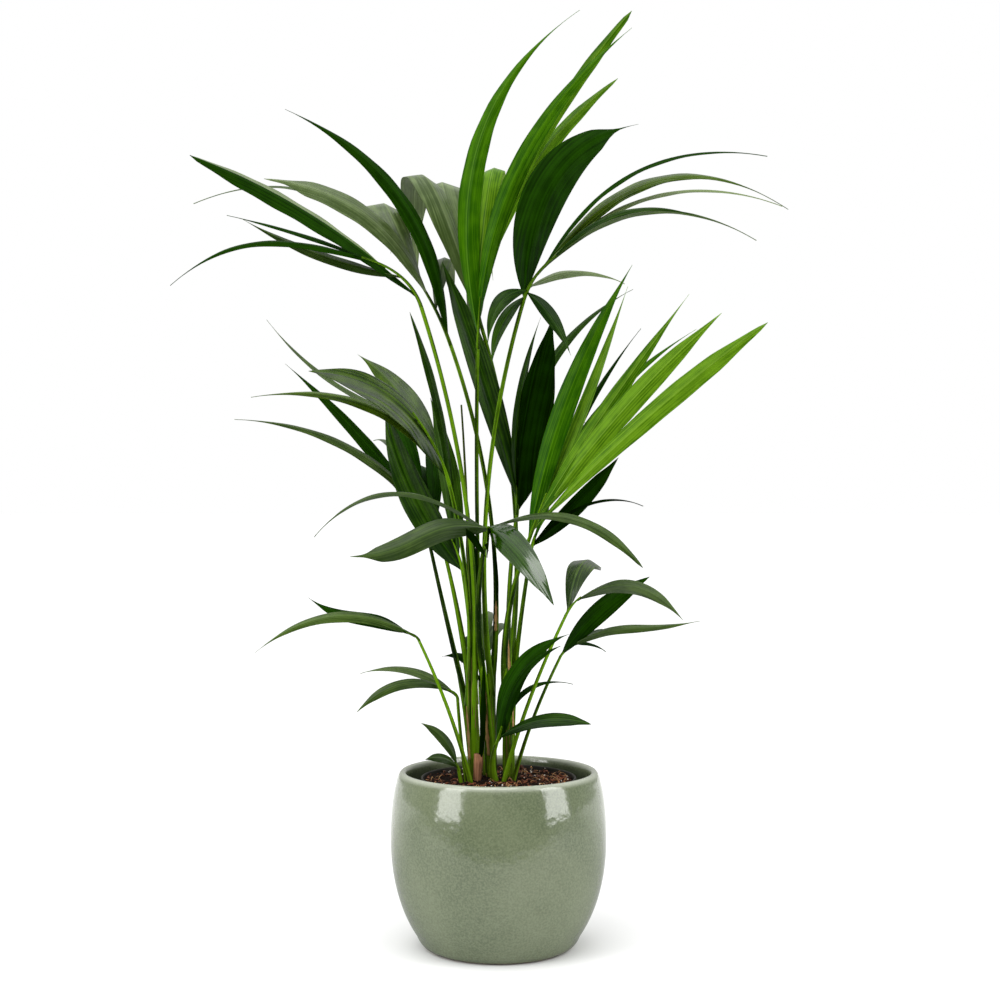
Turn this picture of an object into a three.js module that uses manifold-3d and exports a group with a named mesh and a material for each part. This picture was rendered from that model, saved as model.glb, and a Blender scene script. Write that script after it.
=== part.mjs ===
// A kentia palm (Howea forsteriana) in a glazed round pot.
// Millimetres, +Z up. The origin is the centre of the pot's flat underside, +X is to the right of the
// side that the plant shows best, and +Y points away from that side.
//
// The plant is a clump of three short stems. Each frond is a petiole (one tapering limb) and a blade
// (a rachis with its leaflets fused on). A blade starts a small gap beyond its petiole's tip.

import * as THREE from 'three';
import { mergeVertices } from 'three/addons/utils/BufferGeometryUtils.js';
import Module from 'manifold-3d';

const wasm = await Module();
wasm.setup();

const GAP = 0.3;              // clearance between neighbouring solids
const ROUND = 40;             // facets round the pot

// ---------------------------------------------------------------- pot and root ball
const POT = {
  height: 219,
  foot: 86,                   // radius of the flat underside
  heelRadius: 103, heelHeight: 12,
  belly: 135, bellyHeight: 132,
  shoulder: 128, shoulderHeight: 205,
  rim: 115,                   // inner radius of the mouth
  wall: 10,
  floor: 14,
};
const NURSERY_POT = { bottom: 15, top: 211, foot: 70, rim: 96, wall: 1.6, floor: 2.5 };
const SOIL = { edge: 203, crown: 208 };

// ---------------------------------------------------------------- stems
// Short stems wrapped in old leaf sheaths. A petiole that grows from one names its stem and the
// bearing (degrees from +X towards +Y) of the place round the stem's top where it stands.
const STEMS = {
  left: { foot: [-29, 4], top: [-34, 5, 300], base: 9.4, neck: 9.8 },
  middle: { foot: [-9, 16], top: [-13, 14, 312], base: 10.5, neck: 10.5 },
  right: { foot: [13, 12], top: [11, 14, 304], base: 10, neck: 10.5 },
};
const SEAT = 6.6;             // how far a petiole's foot stands from the middle of its stem's top

// ---------------------------------------------------------------- fronds
// petiole: stem and bearing, or foot [x, y] on the soil; tip [x, y, z]; bow [x, y] of its middle off
//   the straight line; radii at foot and tip.
// rachis: where it ends.
// leaflets: at (share of the rachis), tip [x, y, z], arch (rise of its middle over the straight line),
//   sway (sideways bow of its middle, towards -Y), width, turn (degrees that its upper face is rolled
//   from looking up towards -Y), and, where they are not usual, crook (share of the length where it
//   bends most), full (share of the length where it is widest) and curl (an S-bend).
const FRONDS = {
  high_left: {
    petiole: { stem: 'middle', bearing: 62, tip: [-61, 30, 755], bow: [26, 4], radii: [2.9, 2.5] },
    rachis: [-150, 112, 900],
    leaflets: [
      { at: 0.06, tip: [-260, -60, 1034], arch: 57, width: 25, turn: 78 },
      { at: 0.42, tip: [-303, 60, 973], arch: 38, width: 26, turn: 58 },
      { at: 0.68, tip: [-411, 150, 957], arch: 60, width: 12, turn: 24 },
      { at: 0.5, tip: [-138, 236, 891], arch: 92, sway: 40, width: 38, turn: -6, full: 0.5 },
      { at: 0.82, tip: [-152, 250, 905], arch: 40, width: 22, turn: 6 },
      { at: 0.3, tip: [-62, 250, 811], arch: 76, width: 26, turn: 0 },
    ],
  },
  upper_left: {
    petiole: { stem: 'left', bearing: 290, tip: [-95, -40, 795], bow: [24, -6], radii: [2.9, 2.5] },
    rachis: [-163, -100, 848],
    leaflets: [
      { at: 0.16, tip: [-359, -150, 959], arch: 15, width: 32, turn: 54, full: 0.6 },
      { at: 0.72, tip: [-386, -130, 810], arch: 40, width: 11, turn: 52, curl: -4 },
      { at: 0.5, tip: [-309, -78, 897], arch: -9, width: 15, turn: 68 },
      { at: 0.9, tip: [-337, -24, 911], arch: 4, width: 7, turn: 50 },
    ],
  },
  crown: {
    petiole: { stem: 'middle', bearing: 190, tip: [-26, -5, 747], bow: [-4, 4], radii: [3.0, 2.6] },
    rachis: [-23, -8, 812],
    leaflets: [
      { at: 0.3, tip: [99, -60, 1155], arch: 78, width: 33, turn: 86, crook: 0.6, full: 0.32 },
      { at: 0.6, tip: [168, 8, 1153], arch: 44, width: 25, turn: 80, full: 0.4 },
    ],
  },
  high_back: {
    petiole: { stem: 'right', bearing: 120, tip: [-21, 45, 777], bow: [28, 8], radii: [3.0, 2.5] },
    rachis: [-27, 78, 838],
    leaflets: [
      { at: 0.85, tip: [172, 60, 1190], arch: 24, width: 19, turn: 78 },
      { at: 0.6, tip: [157, 100, 1113], arch: 32, width: 21, turn: 62 },
      { at: 0.3, tip: [-112, 215, 880], arch: 150, sway: 72, width: 27, turn: -8, full: 0.5 },
      { at: 0.5, tip: [-43, 240, 908], arch: 128, sway: 44, width: 38, turn: 0, full: 0.5 },
      { at: 0.75, tip: [0, 230, 920], arch: 135, sway: 18, width: 28, turn: 0, full: 0.5 },
      { at: 0.95, tip: [-8, 254, 868], arch: 60, width: 22, turn: 0 },
      { at: 0.2, tip: [-40, 214, 766], arch: 60, width: 22, turn: 0 },
    ],
  },
  upper_right: {
    petiole: { stem: 'middle', bearing: 325, tip: [30, -25, 802], bow: [-26, -6], radii: [3.1, 2.6] },
    rachis: [69, -76, 853],
    leaflets: [
      { at: 0.1, tip: [176, 6, 1031], arch: 47, width: 53, turn: 84, crook: 0.6, full: 0.4 },
      { at: 0.8, tip: [316, -130, 962], arch: 54, width: 13, turn: 36 },
      { at: 0.7, tip: [348, -88, 907], arch: 73, width: 22, turn: 50, crook: 0.55, full: 0.3 },
      { at: 0.9, tip: [350, -36, 920], arch: 48, width: 12, turn: 32 },
      { at: 0.97, tip: [244, -112, 892], arch: 32, width: 10, turn: 50 },
      { at: 0.55, tip: [324, 2, 884], arch: 57, width: 12, turn: 40 },
      { at: 0.3, tip: [163, 60, 837], arch: 17, width: 15, turn: 40 },
      { at: 0.2, tip: [87, -84, 732], arch: 8, width: 17, turn: 70 },
      { at: 0.24, tip: [-13, -80, 743], arch: 22, width: 18, turn: 66 },
      { at: 0.12, tip: [-8, -46, 722], arch: 12, width: 15, turn: 74 },
    ],
  },
  heart: {
    petiole: { stem: 'right', bearing: 325, tip: [23, 14, 539], bow: [-7, 0], radii: [3.0, 2.6] },
    rachis: [20, 20, 583],
    leaflets: [
      { at: 0.15, tip: [69, -20, 790], arch: 8, width: 47, turn: 86, full: 0.48 },
      { at: 0.5, tip: [-72, 36, 862], arch: 6, width: 34, turn: 80, full: 0.42 },
      { at: 0.8, tip: [54, 42, 792], arch: 14, width: 12, turn: 66 },
      { at: 0.95, tip: [62, 132, 732], arch: 14, width: 26, turn: 10 },
      { at: 0.9, tip: [176, 90, 834], arch: 44, width: 14, turn: 50 },
    ],
  },
  middle_right: {
    petiole: { stem: 'right', bearing: 260, tip: [35, -32, 502], bow: [-12, -4], radii: [3.1, 2.6] },
    rachis: [58, -72, 566],
    leaflets: [
      { at: 0.3, tip: [320, -110, 769], arch: 10, width: 26, turn: 84, full: 0.62 },
      { at: 0.45, tip: [272, -60, 786], arch: 11, width: 31, turn: 80, full: 0.5 },
      { at: 0.6, tip: [237, -20, 814], arch: 4, width: 26, turn: 70, full: 0.35 },
      { at: 0.1, tip: [165, -36, 848], arch: 17, width: 30, turn: 82, full: 0.4 },
      { at: 0.2, tip: [164, 22, 829], arch: -4, width: 16, turn: 70 },
    ],
  },
  shaded_right: {
    petiole: { stem: 'right', bearing: 20, tip: [41, 42, 490], bow: [-2, 2], radii: [3.0, 2.5] },
    rachis: [66, 84, 540],
    leaflets: [
      { at: 0.3, tip: [256, 64, 779], arch: 34, width: 15, turn: 62 },
      { at: 0.5, tip: [186, 84, 782], arch: 16, width: 12, turn: 40 },
      { at: 0.15, tip: [158, 104, 614], arch: -5, width: 23, turn: 70, full: 0.5 },
      { at: 0.2, tip: [186, 50, 550], arch: 26, width: 10, turn: 24, crook: 0.62 },
      { at: 0.8, tip: [132, 236, 660], arch: 60, width: 22, turn: 0 },
      { at: 0.95, tip: [60, 262, 560], arch: 62, width: 20, turn: 0 },
    ],
  },
  middle_left: {
    petiole: { stem: 'left', bearing: 205, tip: [-60, -30, 574], bow: [12, -4], radii: [3.0, 2.6] },
    rachis: [-104, -70, 664],
    leaflets: [
      { at: 0.15, tip: [-221, -150, 708], arch: 38, width: 42, turn: 66, full: 0.48 },
      { at: 0.1, tip: [-294, -110, 680], arch: 46, width: 18, turn: 50, crook: 0.44 },
      { at: 0.9, tip: [-296, 34, 788], arch: -20, width: 8, turn: 40 },
      { at: 0.55, tip: [-184, 84, 748], arch: 12, width: 32, turn: 52 },
    ],
  },
  shaded_left: {
    petiole: { stem: 'left', bearing: 147, tip: [-94, 70, 522], bow: [-1, 0], radii: [2.9, 2.3] },
    rachis: [-111, 100, 575],
    leaflets: [
      { at: 0.25, tip: [-282, 110, 738], arch: 9, width: 18, turn: 60 },
      { at: 0.7, tip: [-158, 160, 700], arch: 8, width: 32, turn: 56, full: 0.5 },
      { at: 0.85, tip: [-173, 206, 640], arch: 26, width: 22, turn: 10 },
    ],
  },
  back_left: {
    petiole: { stem: 'left', bearing: 90, tip: [-74, 62, 506], bow: [4, 0], radii: [2.9, 2.3] },
    rachis: [-86, 92, 545],
    leaflets: [
      { at: 0.2, tip: [-338, 40, 661], arch: 40, width: 15, turn: 52 },
      { at: 0.6, tip: [-98, 232, 640], arch: 40, width: 22, turn: 0 },
      { at: 0.9, tip: [-130, 250, 560], arch: 54, width: 22, turn: 0 },
    ],
  },
  inner_left: {
    petiole: { stem: 'left', bearing: 32, tip: [-45, 32, 462], bow: [2, 3], radii: [2.9, 2.4] },
    rachis: [-62, 44, 512],
    leaflets: [
      { at: 0.15, tip: [-148, 48, 690], arch: -16, width: 40, turn: 72, full: 0.4 },
      { at: 0.55, tip: [-88, 56, 690], arch: 6, width: 27, turn: 76, full: 0.45 },
      { at: 0.8, tip: [-112, 12, 795], arch: 15, width: 13, turn: 80, full: 0.6 },
      { at: 0.95, tip: [-60, 224, 540], arch: 76, width: 22, turn: 0 },
    ],
  },
  front: {
    petiole: { stem: 'middle', bearing: 258, tip: [-18, -44, 499], bow: [-9, -7], radii: [3.1, 2.6] },
    rachis: [-12, -94, 526],
    leaflets: [
      { at: 0.55, tip: [-218, -120, 514], arch: 50, width: 12, turn: 32, crook: 0.58 },
      { at: 0.75, tip: [-173, -150, 492], arch: 5, width: 29, turn: 70, full: 0.42, curl: 7 },
      { at: 0.9, tip: [63, -190, 438], arch: 14, width: 31, turn: 74, full: 0.45 },
      { at: 0.7, tip: [170, -130, 478], arch: 37, width: 14, turn: 54, full: 0.62 },
      { at: 0.3, tip: [10, -96, 470], arch: 6, width: 12, turn: 70 },
    ],
  },
  low_right: {
    petiole: { foot: [6, -20], tip: [82, -42, 415], bow: [-6, 0], radii: [4, 2] },
    rachis: [100, -60, 440],
    leaflets: [
      { at: 0.2, tip: [124, 100, 448], arch: 49, width: 32, turn: 0, full: 0.55 },
      { at: 0.8, tip: [218, -120, 416], arch: 29, width: 19, turn: 58, full: 0.45 },
    ],
  },
  lower_right: {
    petiole: { foot: [18, -14], tip: [77, 8, 359], bow: [-5, -2], radii: [3.6, 1.9] },
    rachis: [100, 24, 377],
    leaflets: [
      { at: 0.15, tip: [191, 14, 461], arch: 9, width: 26, turn: 76, full: 0.5 },
      { at: 0.6, tip: [249, -28, 408], arch: 8, width: 13, turn: 54, curl: 4 },
      { at: 0.9, tip: [139, 70, 361], arch: 5, width: 8, turn: 40 },
      { at: 0.95, tip: [140, 150, 384], arch: 4, width: 15, turn: 0 },
    ],
  },
  front_right: {
    petiole: { foot: [-4, -16], tip: [-3, -30, 255], bow: [-4, -1], radii: [6.4, 3.4] },
    rachis: [4, -44, 280],
    leaflets: [
      { at: 0.1, tip: [84, -92, 397], arch: 30, width: 31, turn: 84, full: 0.36 },
      { at: 0.95, tip: [74, -104, 384], arch: 20, width: 12, turn: 70, full: 0.5 },
      { at: 0.35, tip: [111, -92, 289], arch: 14, width: 18, turn: 64, full: 0.55 },
      { at: 0.7, tip: [94, 6, 326], arch: 27, width: 8, turn: 40 },
    ],
  },
  low_left: {
    petiole: { foot: [-34, -18], tip: [-98, -32, 384], bow: [5, 0], radii: [4, 1.9] },
    rachis: [-114, -38, 395],
    leaflets: [
      { at: 0.4, tip: [-295, -70, 373], arch: 34, width: 15, turn: 58 },
      { at: 0.9, tip: [-237, -20, 437], arch: -3, width: 12, turn: 64, curl: 4 },
      { at: 0.7, tip: [-186, 66, 404], arch: 6, width: 13, turn: 10 },
    ],
  },
  lower_left: {
    petiole: { foot: [-40, -10], tip: [-51, -8, 308], bow: [-1, 0], radii: [3.2, 2.2] },
    rachis: [-63, -20, 322],
    leaflets: [
      { at: 0.3, tip: [-176, 30, 337], arch: 18, width: 12, turn: 50 },
      { at: 0.8, tip: [-173, -60, 299], arch: 22, width: 14, turn: 58, full: 0.5 },
      { at: 0.6, tip: [-120, 120, 318], arch: 6, width: 12, turn: 0 },
    ],
  },
  back_low: {
    petiole: { foot: [-18, 36], tip: [-24, 52, 318], bow: [0, 3], radii: [4, 2.2] },
    rachis: [-20, 76, 352],
    leaflets: [
      { at: 0.2, tip: [-72, 24, 359], arch: 14, width: 14, turn: 70 },
      { at: 0.5, tip: [-52, 196, 330], arch: 44, width: 18, turn: 0 },
      { at: 0.7, tip: [26, 190, 356], arch: 44, width: 20, turn: 0 },
      { at: 0.95, tip: [-10, 214, 392], arch: 34, width: 18, turn: 0 },
    ],
  },
  foot_left: {
    petiole: { foot: [-46, -20], tip: [-49, -22, 222], bow: [0, 0], radii: [3.4, 2.4] },
    rachis: [-53, -24, 232],
    leaflets: [
      { at: 0.8, tip: [-96, -22, 281], arch: 8, width: 13, turn: 72, full: 0.5 },
      { at: 0.4, tip: [-90, -44, 239], arch: 7, width: 12, turn: 70, full: 0.5 },
    ],
  },
};

// The unopened frond: a closed spear that stands in the middle of a stem's top.
const SPEAR = { stem: 'left', tip: [-47, 8, 678], bow: [3, 2], radii: [2.7, 0.7] };
// A dry sheath stump at the foot of the left stem.
const HUSK = { foot: [-27, -11], tip: [-24, -14, 238], radii: [4.2, 4.8] };

// ---------------------------------------------------------------- finishes
function finish(color, roughness, metalness = 0) {
  return new THREE.MeshStandardMaterial({ color, roughness, metalness });
}

const GREEN = { deep: 0x14300c, mid: 0x2c5c14, fresh: 0x5c9a2c, pale: 0x6f8358 };
const LEAF_COLOUR = {
  high_left: GREEN.mid, upper_left: GREEN.deep, crown: GREEN.fresh, high_back: GREEN.pale,
  upper_right: GREEN.deep, heart: GREEN.deep, middle_right: GREEN.fresh, front: GREEN.pale,
};
const PETIOLE_COLOUR = 0x6d9a2c;

// ---------------------------------------------------------------- solids
function toSolid(geometry) {
  const bare = geometry.clone();
  bare.deleteAttribute('normal');
  bare.deleteAttribute('uv');
  const merged = mergeVertices(bare, 1e-4);
  return new wasm.Manifold(new wasm.Mesh({
    numProp: 3,
    vertProperties: new Float32Array(merged.attributes.position.array),
    triVerts: new Uint32Array(merged.index.array),
  }));
}

function toGeometry(solid) {
  const mesh = solid.getMesh();
  const geometry = new THREE.BufferGeometry();
  geometry.setAttribute('position', new THREE.BufferAttribute(mesh.vertProperties, 3));
  geometry.setIndex(new THREE.BufferAttribute(mesh.triVerts, 1));
  geometry.computeVertexNormals();
  return geometry;
}

// A cylinder whose every ring is carried to place(t): centre, across, face, halfWidth and halfDepth.
function swept(sides, steps, place) {
  const geometry = new THREE.CylinderGeometry(1, 1, 1, sides, steps);
  const position = geometry.attributes.position;
  for (let i = 0; i < position.count; i += 1) {
    const ring = place(position.getY(i) + 0.5);
    const point = ring.centre.clone()
      .addScaledVector(ring.across, position.getX(i) * ring.halfWidth)
      .addScaledVector(ring.face, position.getZ(i) * ring.halfDepth);
    position.setXYZ(i, point.x, point.y, point.z);
  }
  return geometry;
}

function bowed(from, to, bow) {
  const middle = from.clone().add(to).multiplyScalar(0.5).add(bow.clone().multiplyScalar(2));
  return new THREE.QuadraticBezierCurve3(from, middle, to);
}

// A round tapering limb along a curve.
function limb(curve, radii, sides = 6, steps = 7) {
  return swept(sides, steps, (t) => {
    const along = curve.getTangent(t);
    const across = new THREE.Vector3(0, 1, 0).cross(along).normalize();
    const radius = THREE.MathUtils.lerp(radii[0], radii[1], t);
    const face = across.clone().cross(along);
    return { centre: curve.getPoint(t), across, face, halfWidth: radius, halfDepth: radius };
  });
}

const LEAF_STEPS = 7;
const LEAF_RISE = 0.9;        // how fast a leaflet widens from its root
const LEAF_ROOT = 3.2;        // width where a leaflet leaves its rachis
const LEAF_DEPTH = 0.0125;    // thickness as a share of the length

function leafWidth(t, width, full) {
  const fall = LEAF_RISE * (1 - full) / full;
  const peak = full ** LEAF_RISE * (1 - full) ** fall;
  return Math.max(width * t ** LEAF_RISE * (1 - t) ** fall / peak, LEAF_ROOT * (1 - t) ** 2, 0.6);
}

// A leaflet: a thin three-sided blade with its midrib raised on the upper face.
function leaflet(root, leaf) {
  const { arch, sway = 0, width, turn, crook = 0.5, full = 0.4, curl = 0 } = leaf;
  const tip = new THREE.Vector3(...leaf.tip);
  const chord = tip.clone().sub(root);
  const length = chord.length();
  const along = chord.clone().normalize();
  const side = new THREE.Vector3(along.y, -along.x, 0).normalize();
  if (side.y > 0) side.negate();
  const rise = new THREE.Vector3(0, 0, 1).addScaledVector(along, -along.z).normalize();
  const control = root.clone().addScaledVector(chord, crook)
    .addScaledVector(rise, 2 * arch).addScaledVector(side, 2 * sway);
  const curve = new THREE.QuadraticBezierCurve3(root, control, tip);
  const roll = THREE.MathUtils.degToRad(turn);
  const depth = length * LEAF_DEPTH;
  return swept(3, LEAF_STEPS, (t) => {
    const tangent = curve.getTangent(t);
    const flat = side.clone().addScaledVector(tangent, -side.dot(tangent)).normalize();
    const up = flat.clone().cross(tangent);
    if (up.dot(rise) < 0) up.negate();
    const face = up.multiplyScalar(Math.cos(roll)).addScaledVector(flat, Math.sin(roll));
    const across = tangent.clone().cross(face);
    const centre = curve.getPoint(t).addScaledVector(rise, curl * Math.sin(2 * Math.PI * t));
    const taper = Math.min(1, 4 * (1 - t) + 0.25);
    return {
      centre, across, face,
      halfWidth: leafWidth(t, width, full) / Math.sqrt(3),
      halfDepth: depth * taper / 1.5,
    };
  });
}

// ---------------------------------------------------------------- pot
function potProfile() {
  const outline = new THREE.Shape();
  const lip = POT.wall / 2;
  outline.moveTo(0, 0);
  outline.lineTo(POT.foot, 0);
  outline.quadraticCurveTo(POT.foot + 9, 0, POT.heelRadius, POT.heelHeight + 4);
  outline.bezierCurveTo(POT.heelRadius + 22, 48, POT.belly, 92, POT.belly, POT.bellyHeight);
  outline.bezierCurveTo(POT.belly, 170, POT.shoulder + 4, 190, POT.shoulder, POT.shoulderHeight);
  outline.bezierCurveTo(POT.shoulder - 2, POT.height - 2, POT.shoulder - 5, POT.height,
    POT.rim + lip, POT.height);
  outline.bezierCurveTo(POT.rim + 1, POT.height, POT.rim, POT.height - 4, POT.rim, POT.height - 9);
  outline.bezierCurveTo(POT.rim + 5, 190, POT.belly - POT.wall, 165, POT.belly - POT.wall,
    POT.bellyHeight);
  outline.bezierCurveTo(POT.belly - POT.wall, 90, POT.heelRadius + 8, 50, POT.foot, POT.floor + 4);
  outline.lineTo(POT.foot - 8, POT.floor);
  outline.lineTo(0, POT.floor);
  return outline.getPoints(3);
}

function turned(points) {
  const geometry = new THREE.LatheGeometry(points, ROUND);
  geometry.rotateX(Math.PI / 2);
  return geometry;
}

function nurseryRadius(height) {
  const share = (height - NURSERY_POT.bottom) / (NURSERY_POT.top - NURSERY_POT.bottom);
  return THREE.MathUtils.lerp(NURSERY_POT.foot, NURSERY_POT.rim, share);
}

function nurseryPotProfile() {
  const { bottom, top, wall, floor } = NURSERY_POT;
  const inside = bottom + floor;
  return [
    [0, bottom], [nurseryRadius(bottom), bottom], [nurseryRadius(top), top],
    [nurseryRadius(top) - wall, top], [nurseryRadius(inside) - wall, inside], [0, inside],
  ].map(([r, z]) => new THREE.Vector2(r, z));
}

function soilHeight(radius) {
  const rim = nurseryRadius(SOIL.edge);
  return SOIL.crown - (SOIL.crown - SOIL.edge) * (radius / rim) ** 2;
}

function soilProfile() {
  const bottom = NURSERY_POT.bottom + NURSERY_POT.floor + GAP;
  const clear = NURSERY_POT.wall + GAP + 0.1;
  const points = [[0, bottom], [nurseryRadius(bottom) - clear, bottom]];
  const edge = nurseryRadius(SOIL.edge) - clear;
  for (let step = 0; step <= 5; step += 1) {
    const radius = edge * (1 - step / 5);
    points.push([radius, soilHeight(radius)]);
  }
  return points.map(([r, z]) => new THREE.Vector2(r, z));
}

// ---------------------------------------------------------------- assembly
const palm = new THREE.Group();

function addPart(name, geometry, material) {
  const mesh = new THREE.Mesh(geometry, material);
  mesh.name = name;
  palm.add(mesh);
}

function onSoil([x, y]) {
  return new THREE.Vector3(x, y, soilHeight(Math.hypot(x, y)) + GAP);
}

function petioleFoot({ stem, bearing, foot }) {
  if (!stem) return onSoil(foot);
  const [x, y, z] = STEMS[stem].top;
  const angle = THREE.MathUtils.degToRad(bearing);
  return new THREE.Vector3(x + SEAT * Math.cos(angle), y + SEAT * Math.sin(angle), z + GAP);
}

// Turns the ring at one end of a limb level.
function levelled(geometry, curve, end) {
  const position = geometry.attributes.position;
  const centre = curve.getPoint(end);
  const lean = curve.getTangent(end);
  for (let i = 0; i < position.count; i += 1) {
    const offset = new THREE.Vector3().fromBufferAttribute(position, i).sub(centre);
    if (Math.abs(offset.dot(lean)) < 0.01) position.setZ(i, centre.z);
  }
  return geometry;
}

// A limb that stands on the level.
function standing(curve, radii, sides, steps) {
  return levelled(limb(curve, radii, sides, steps), curve, 0);
}

function frondBlade(petiole, frond) {
  const along = petiole.getTangent(1);
  const start = petiole.getPoint(1).addScaledVector(along, GAP);
  const end = new THREE.Vector3(...frond.rachis);
  const control = start.clone().addScaledVector(along, start.distanceTo(end) * 0.45);
  const rachis = new THREE.QuadraticBezierCurve3(start, control, end);
  const thick = frond.petiole.radii[1];
  let solid = toSolid(limb(rachis, [thick, thick * 0.45], 5, 4));
  for (const leaf of frond.leaflets) {
    solid = solid.add(toSolid(leaflet(rachis.getPoint(leaf.at), leaf)));
  }
  return toGeometry(solid);
}

addPart('pot', turned(potProfile()), finish(0x8a9678, 0.25));
addPart('nursery_pot', turned(nurseryPotProfile()), finish(0x2e3328, 0.6));
addPart('soil', turned(soilProfile()), finish(0x2b1a10, 0.95));

for (const [name, stem] of Object.entries(STEMS)) {
  const top = new THREE.Vector3(...stem.top);
  const curve = bowed(onSoil(stem.foot), top, new THREE.Vector3());
  const geometry = levelled(standing(curve, [stem.base, stem.neck], 8, 3), curve, 1);
  addPart(`stem_${name}`, geometry, finish(0x5f8a2a, 0.5));
}

for (const [name, frond] of Object.entries(FRONDS)) {
  const { tip, bow, radii } = frond.petiole;
  const path = bowed(petioleFoot(frond.petiole), new THREE.Vector3(...tip), new THREE.Vector3(...bow, 0));
  addPart(`petiole_${name}`, standing(path, radii), finish(PETIOLE_COLOUR, 0.45));
  addPart(`frond_${name}`, frondBlade(path, frond), finish(LEAF_COLOUR[name] ?? GREEN.mid, 0.35));
}

const spearFoot = new THREE.Vector3(...STEMS[SPEAR.stem].top).add(new THREE.Vector3(0, 0, GAP));
const spear = bowed(spearFoot, new THREE.Vector3(...SPEAR.tip), new THREE.Vector3(...SPEAR.bow, 0));
addPart('spear', standing(spear, SPEAR.radii), finish(0x3c5c1c, 0.5));
const husk = bowed(onSoil(HUSK.foot), new THREE.Vector3(...HUSK.tip), new THREE.Vector3());
addPart('husk', standing(husk, HUSK.radii, 6, 2), finish(0x7a4a30, 0.8));

export default palm;
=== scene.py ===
"""Studio view of a kentia palm (Howea forsteriana) in a round glazed pot.

Metres, +Z up. The origin is the centre of the pot's flat underside, +X is to the right of the side
that the plant shows best, and +Y points away from that side. A bearing is a level direction, in
degrees from +X towards +Y.

The palm is a clump of three short stems. A frond is a petiole and a blade: a rachis with pointed
leaflets. Each leaflet is a closed, very thin folded blade carried along its own bend.
"""
from __future__ import annotations

import logging
import math
import random
from collections.abc import Callable, Iterable, Sequence
from dataclasses import dataclass, field
from enum import Enum

import bmesh
import bpy
from mathutils import Euler, Matrix, Vector, noise

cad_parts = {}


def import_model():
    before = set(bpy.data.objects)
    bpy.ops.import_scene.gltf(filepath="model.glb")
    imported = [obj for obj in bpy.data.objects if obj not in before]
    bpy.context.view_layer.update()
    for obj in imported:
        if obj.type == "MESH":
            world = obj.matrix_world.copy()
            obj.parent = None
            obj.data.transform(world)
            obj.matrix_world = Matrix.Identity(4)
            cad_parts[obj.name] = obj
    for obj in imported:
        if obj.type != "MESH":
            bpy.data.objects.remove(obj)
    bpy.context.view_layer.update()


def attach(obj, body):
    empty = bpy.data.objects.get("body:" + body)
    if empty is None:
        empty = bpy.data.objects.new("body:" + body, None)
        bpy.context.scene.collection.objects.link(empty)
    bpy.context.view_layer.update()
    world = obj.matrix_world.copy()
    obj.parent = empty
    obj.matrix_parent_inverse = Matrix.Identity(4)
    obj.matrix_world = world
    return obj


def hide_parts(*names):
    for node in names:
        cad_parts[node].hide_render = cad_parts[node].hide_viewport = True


LOG = logging.getLogger("kentia")
SEED = 7
UP = Vector((0.0, 0.0, 1.0))
RIGHT = Vector((1.0, 0.0, 0.0))
WHITE = (1.0, 1.0, 1.0, 1.0)
# A body's v coordinate is raised by a multiple of this, which tells one body from the next.
BODY_MARK = 10.0
BODY_MARKS = 60
LENGTH_STEPS = 16
HALVINGS = 20
MERGE = 1e-6
Pair = tuple[float, float]
Point = tuple[float, float, float]
Colour = tuple[float, float, float, float]
Section = Callable[[float, float], Pair]


def srgb(red: int, green: int, blue: int) -> Colour:
    """Turns a screen colour into the linear colour that a shader takes.

    Args:
        red: Red, 0 to 255.
        green: Green, 0 to 255.
        blue: Blue, 0 to 255.

    Returns:
        The linear colour, with full alpha.
    """
    def linear(level: int) -> float:
        """Decodes one channel by the sRGB curve."""
        share = level / 255
        return share / 12.92 if share <= 0.04045 else ((share + 0.055) / 1.055) ** 2.4

    return (linear(red), linear(green), linear(blue), 1.0)


def mix(low: float, high: float, share: float) -> float:
    """Blends two numbers."""
    return low + (high - low) * share


def ease(low: float, high: float, value: float) -> float:
    """Rises smoothly from 0 at low to 1 at high."""
    share = min(1.0, max(0.0, (value - low) / (high - low)))
    return share * share * (3 - 2 * share)


# ---------------------------------------------------------------- materials
class Side(Enum):
    """The two faces of a leaflet."""

    UPPER = "upper"
    UNDER = "underside"


class Shade(Enum):
    """How a leaflet's green looks, from nearly black to pale grey green, and one waxed. Some
    shades have light and shade painted in, as the comment over each says.
    """

    # Green darkened as painted shade, for leaflets that stand in shade.
    PAINTED_SHADE = "painted_shade"
    DEEP = "deep"
    DUSK = "dusk"
    MID = "mid"
    # Bright fresh green: partly the young leaf's own colour and partly painted light shining
    # through the blade.
    FRESH = "fresh"
    # Grey green: partly the leaf's own colour and partly painted sheen of the overhead light.
    SAGE = "sage"
    SATIN = "satin"
    # Pale grey green: the leaf's green paled and greyed as painted sheen of the overhead light.
    PAINTED_SHEEN = "painted_sheen"
    WAXED = "waxed"


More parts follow.
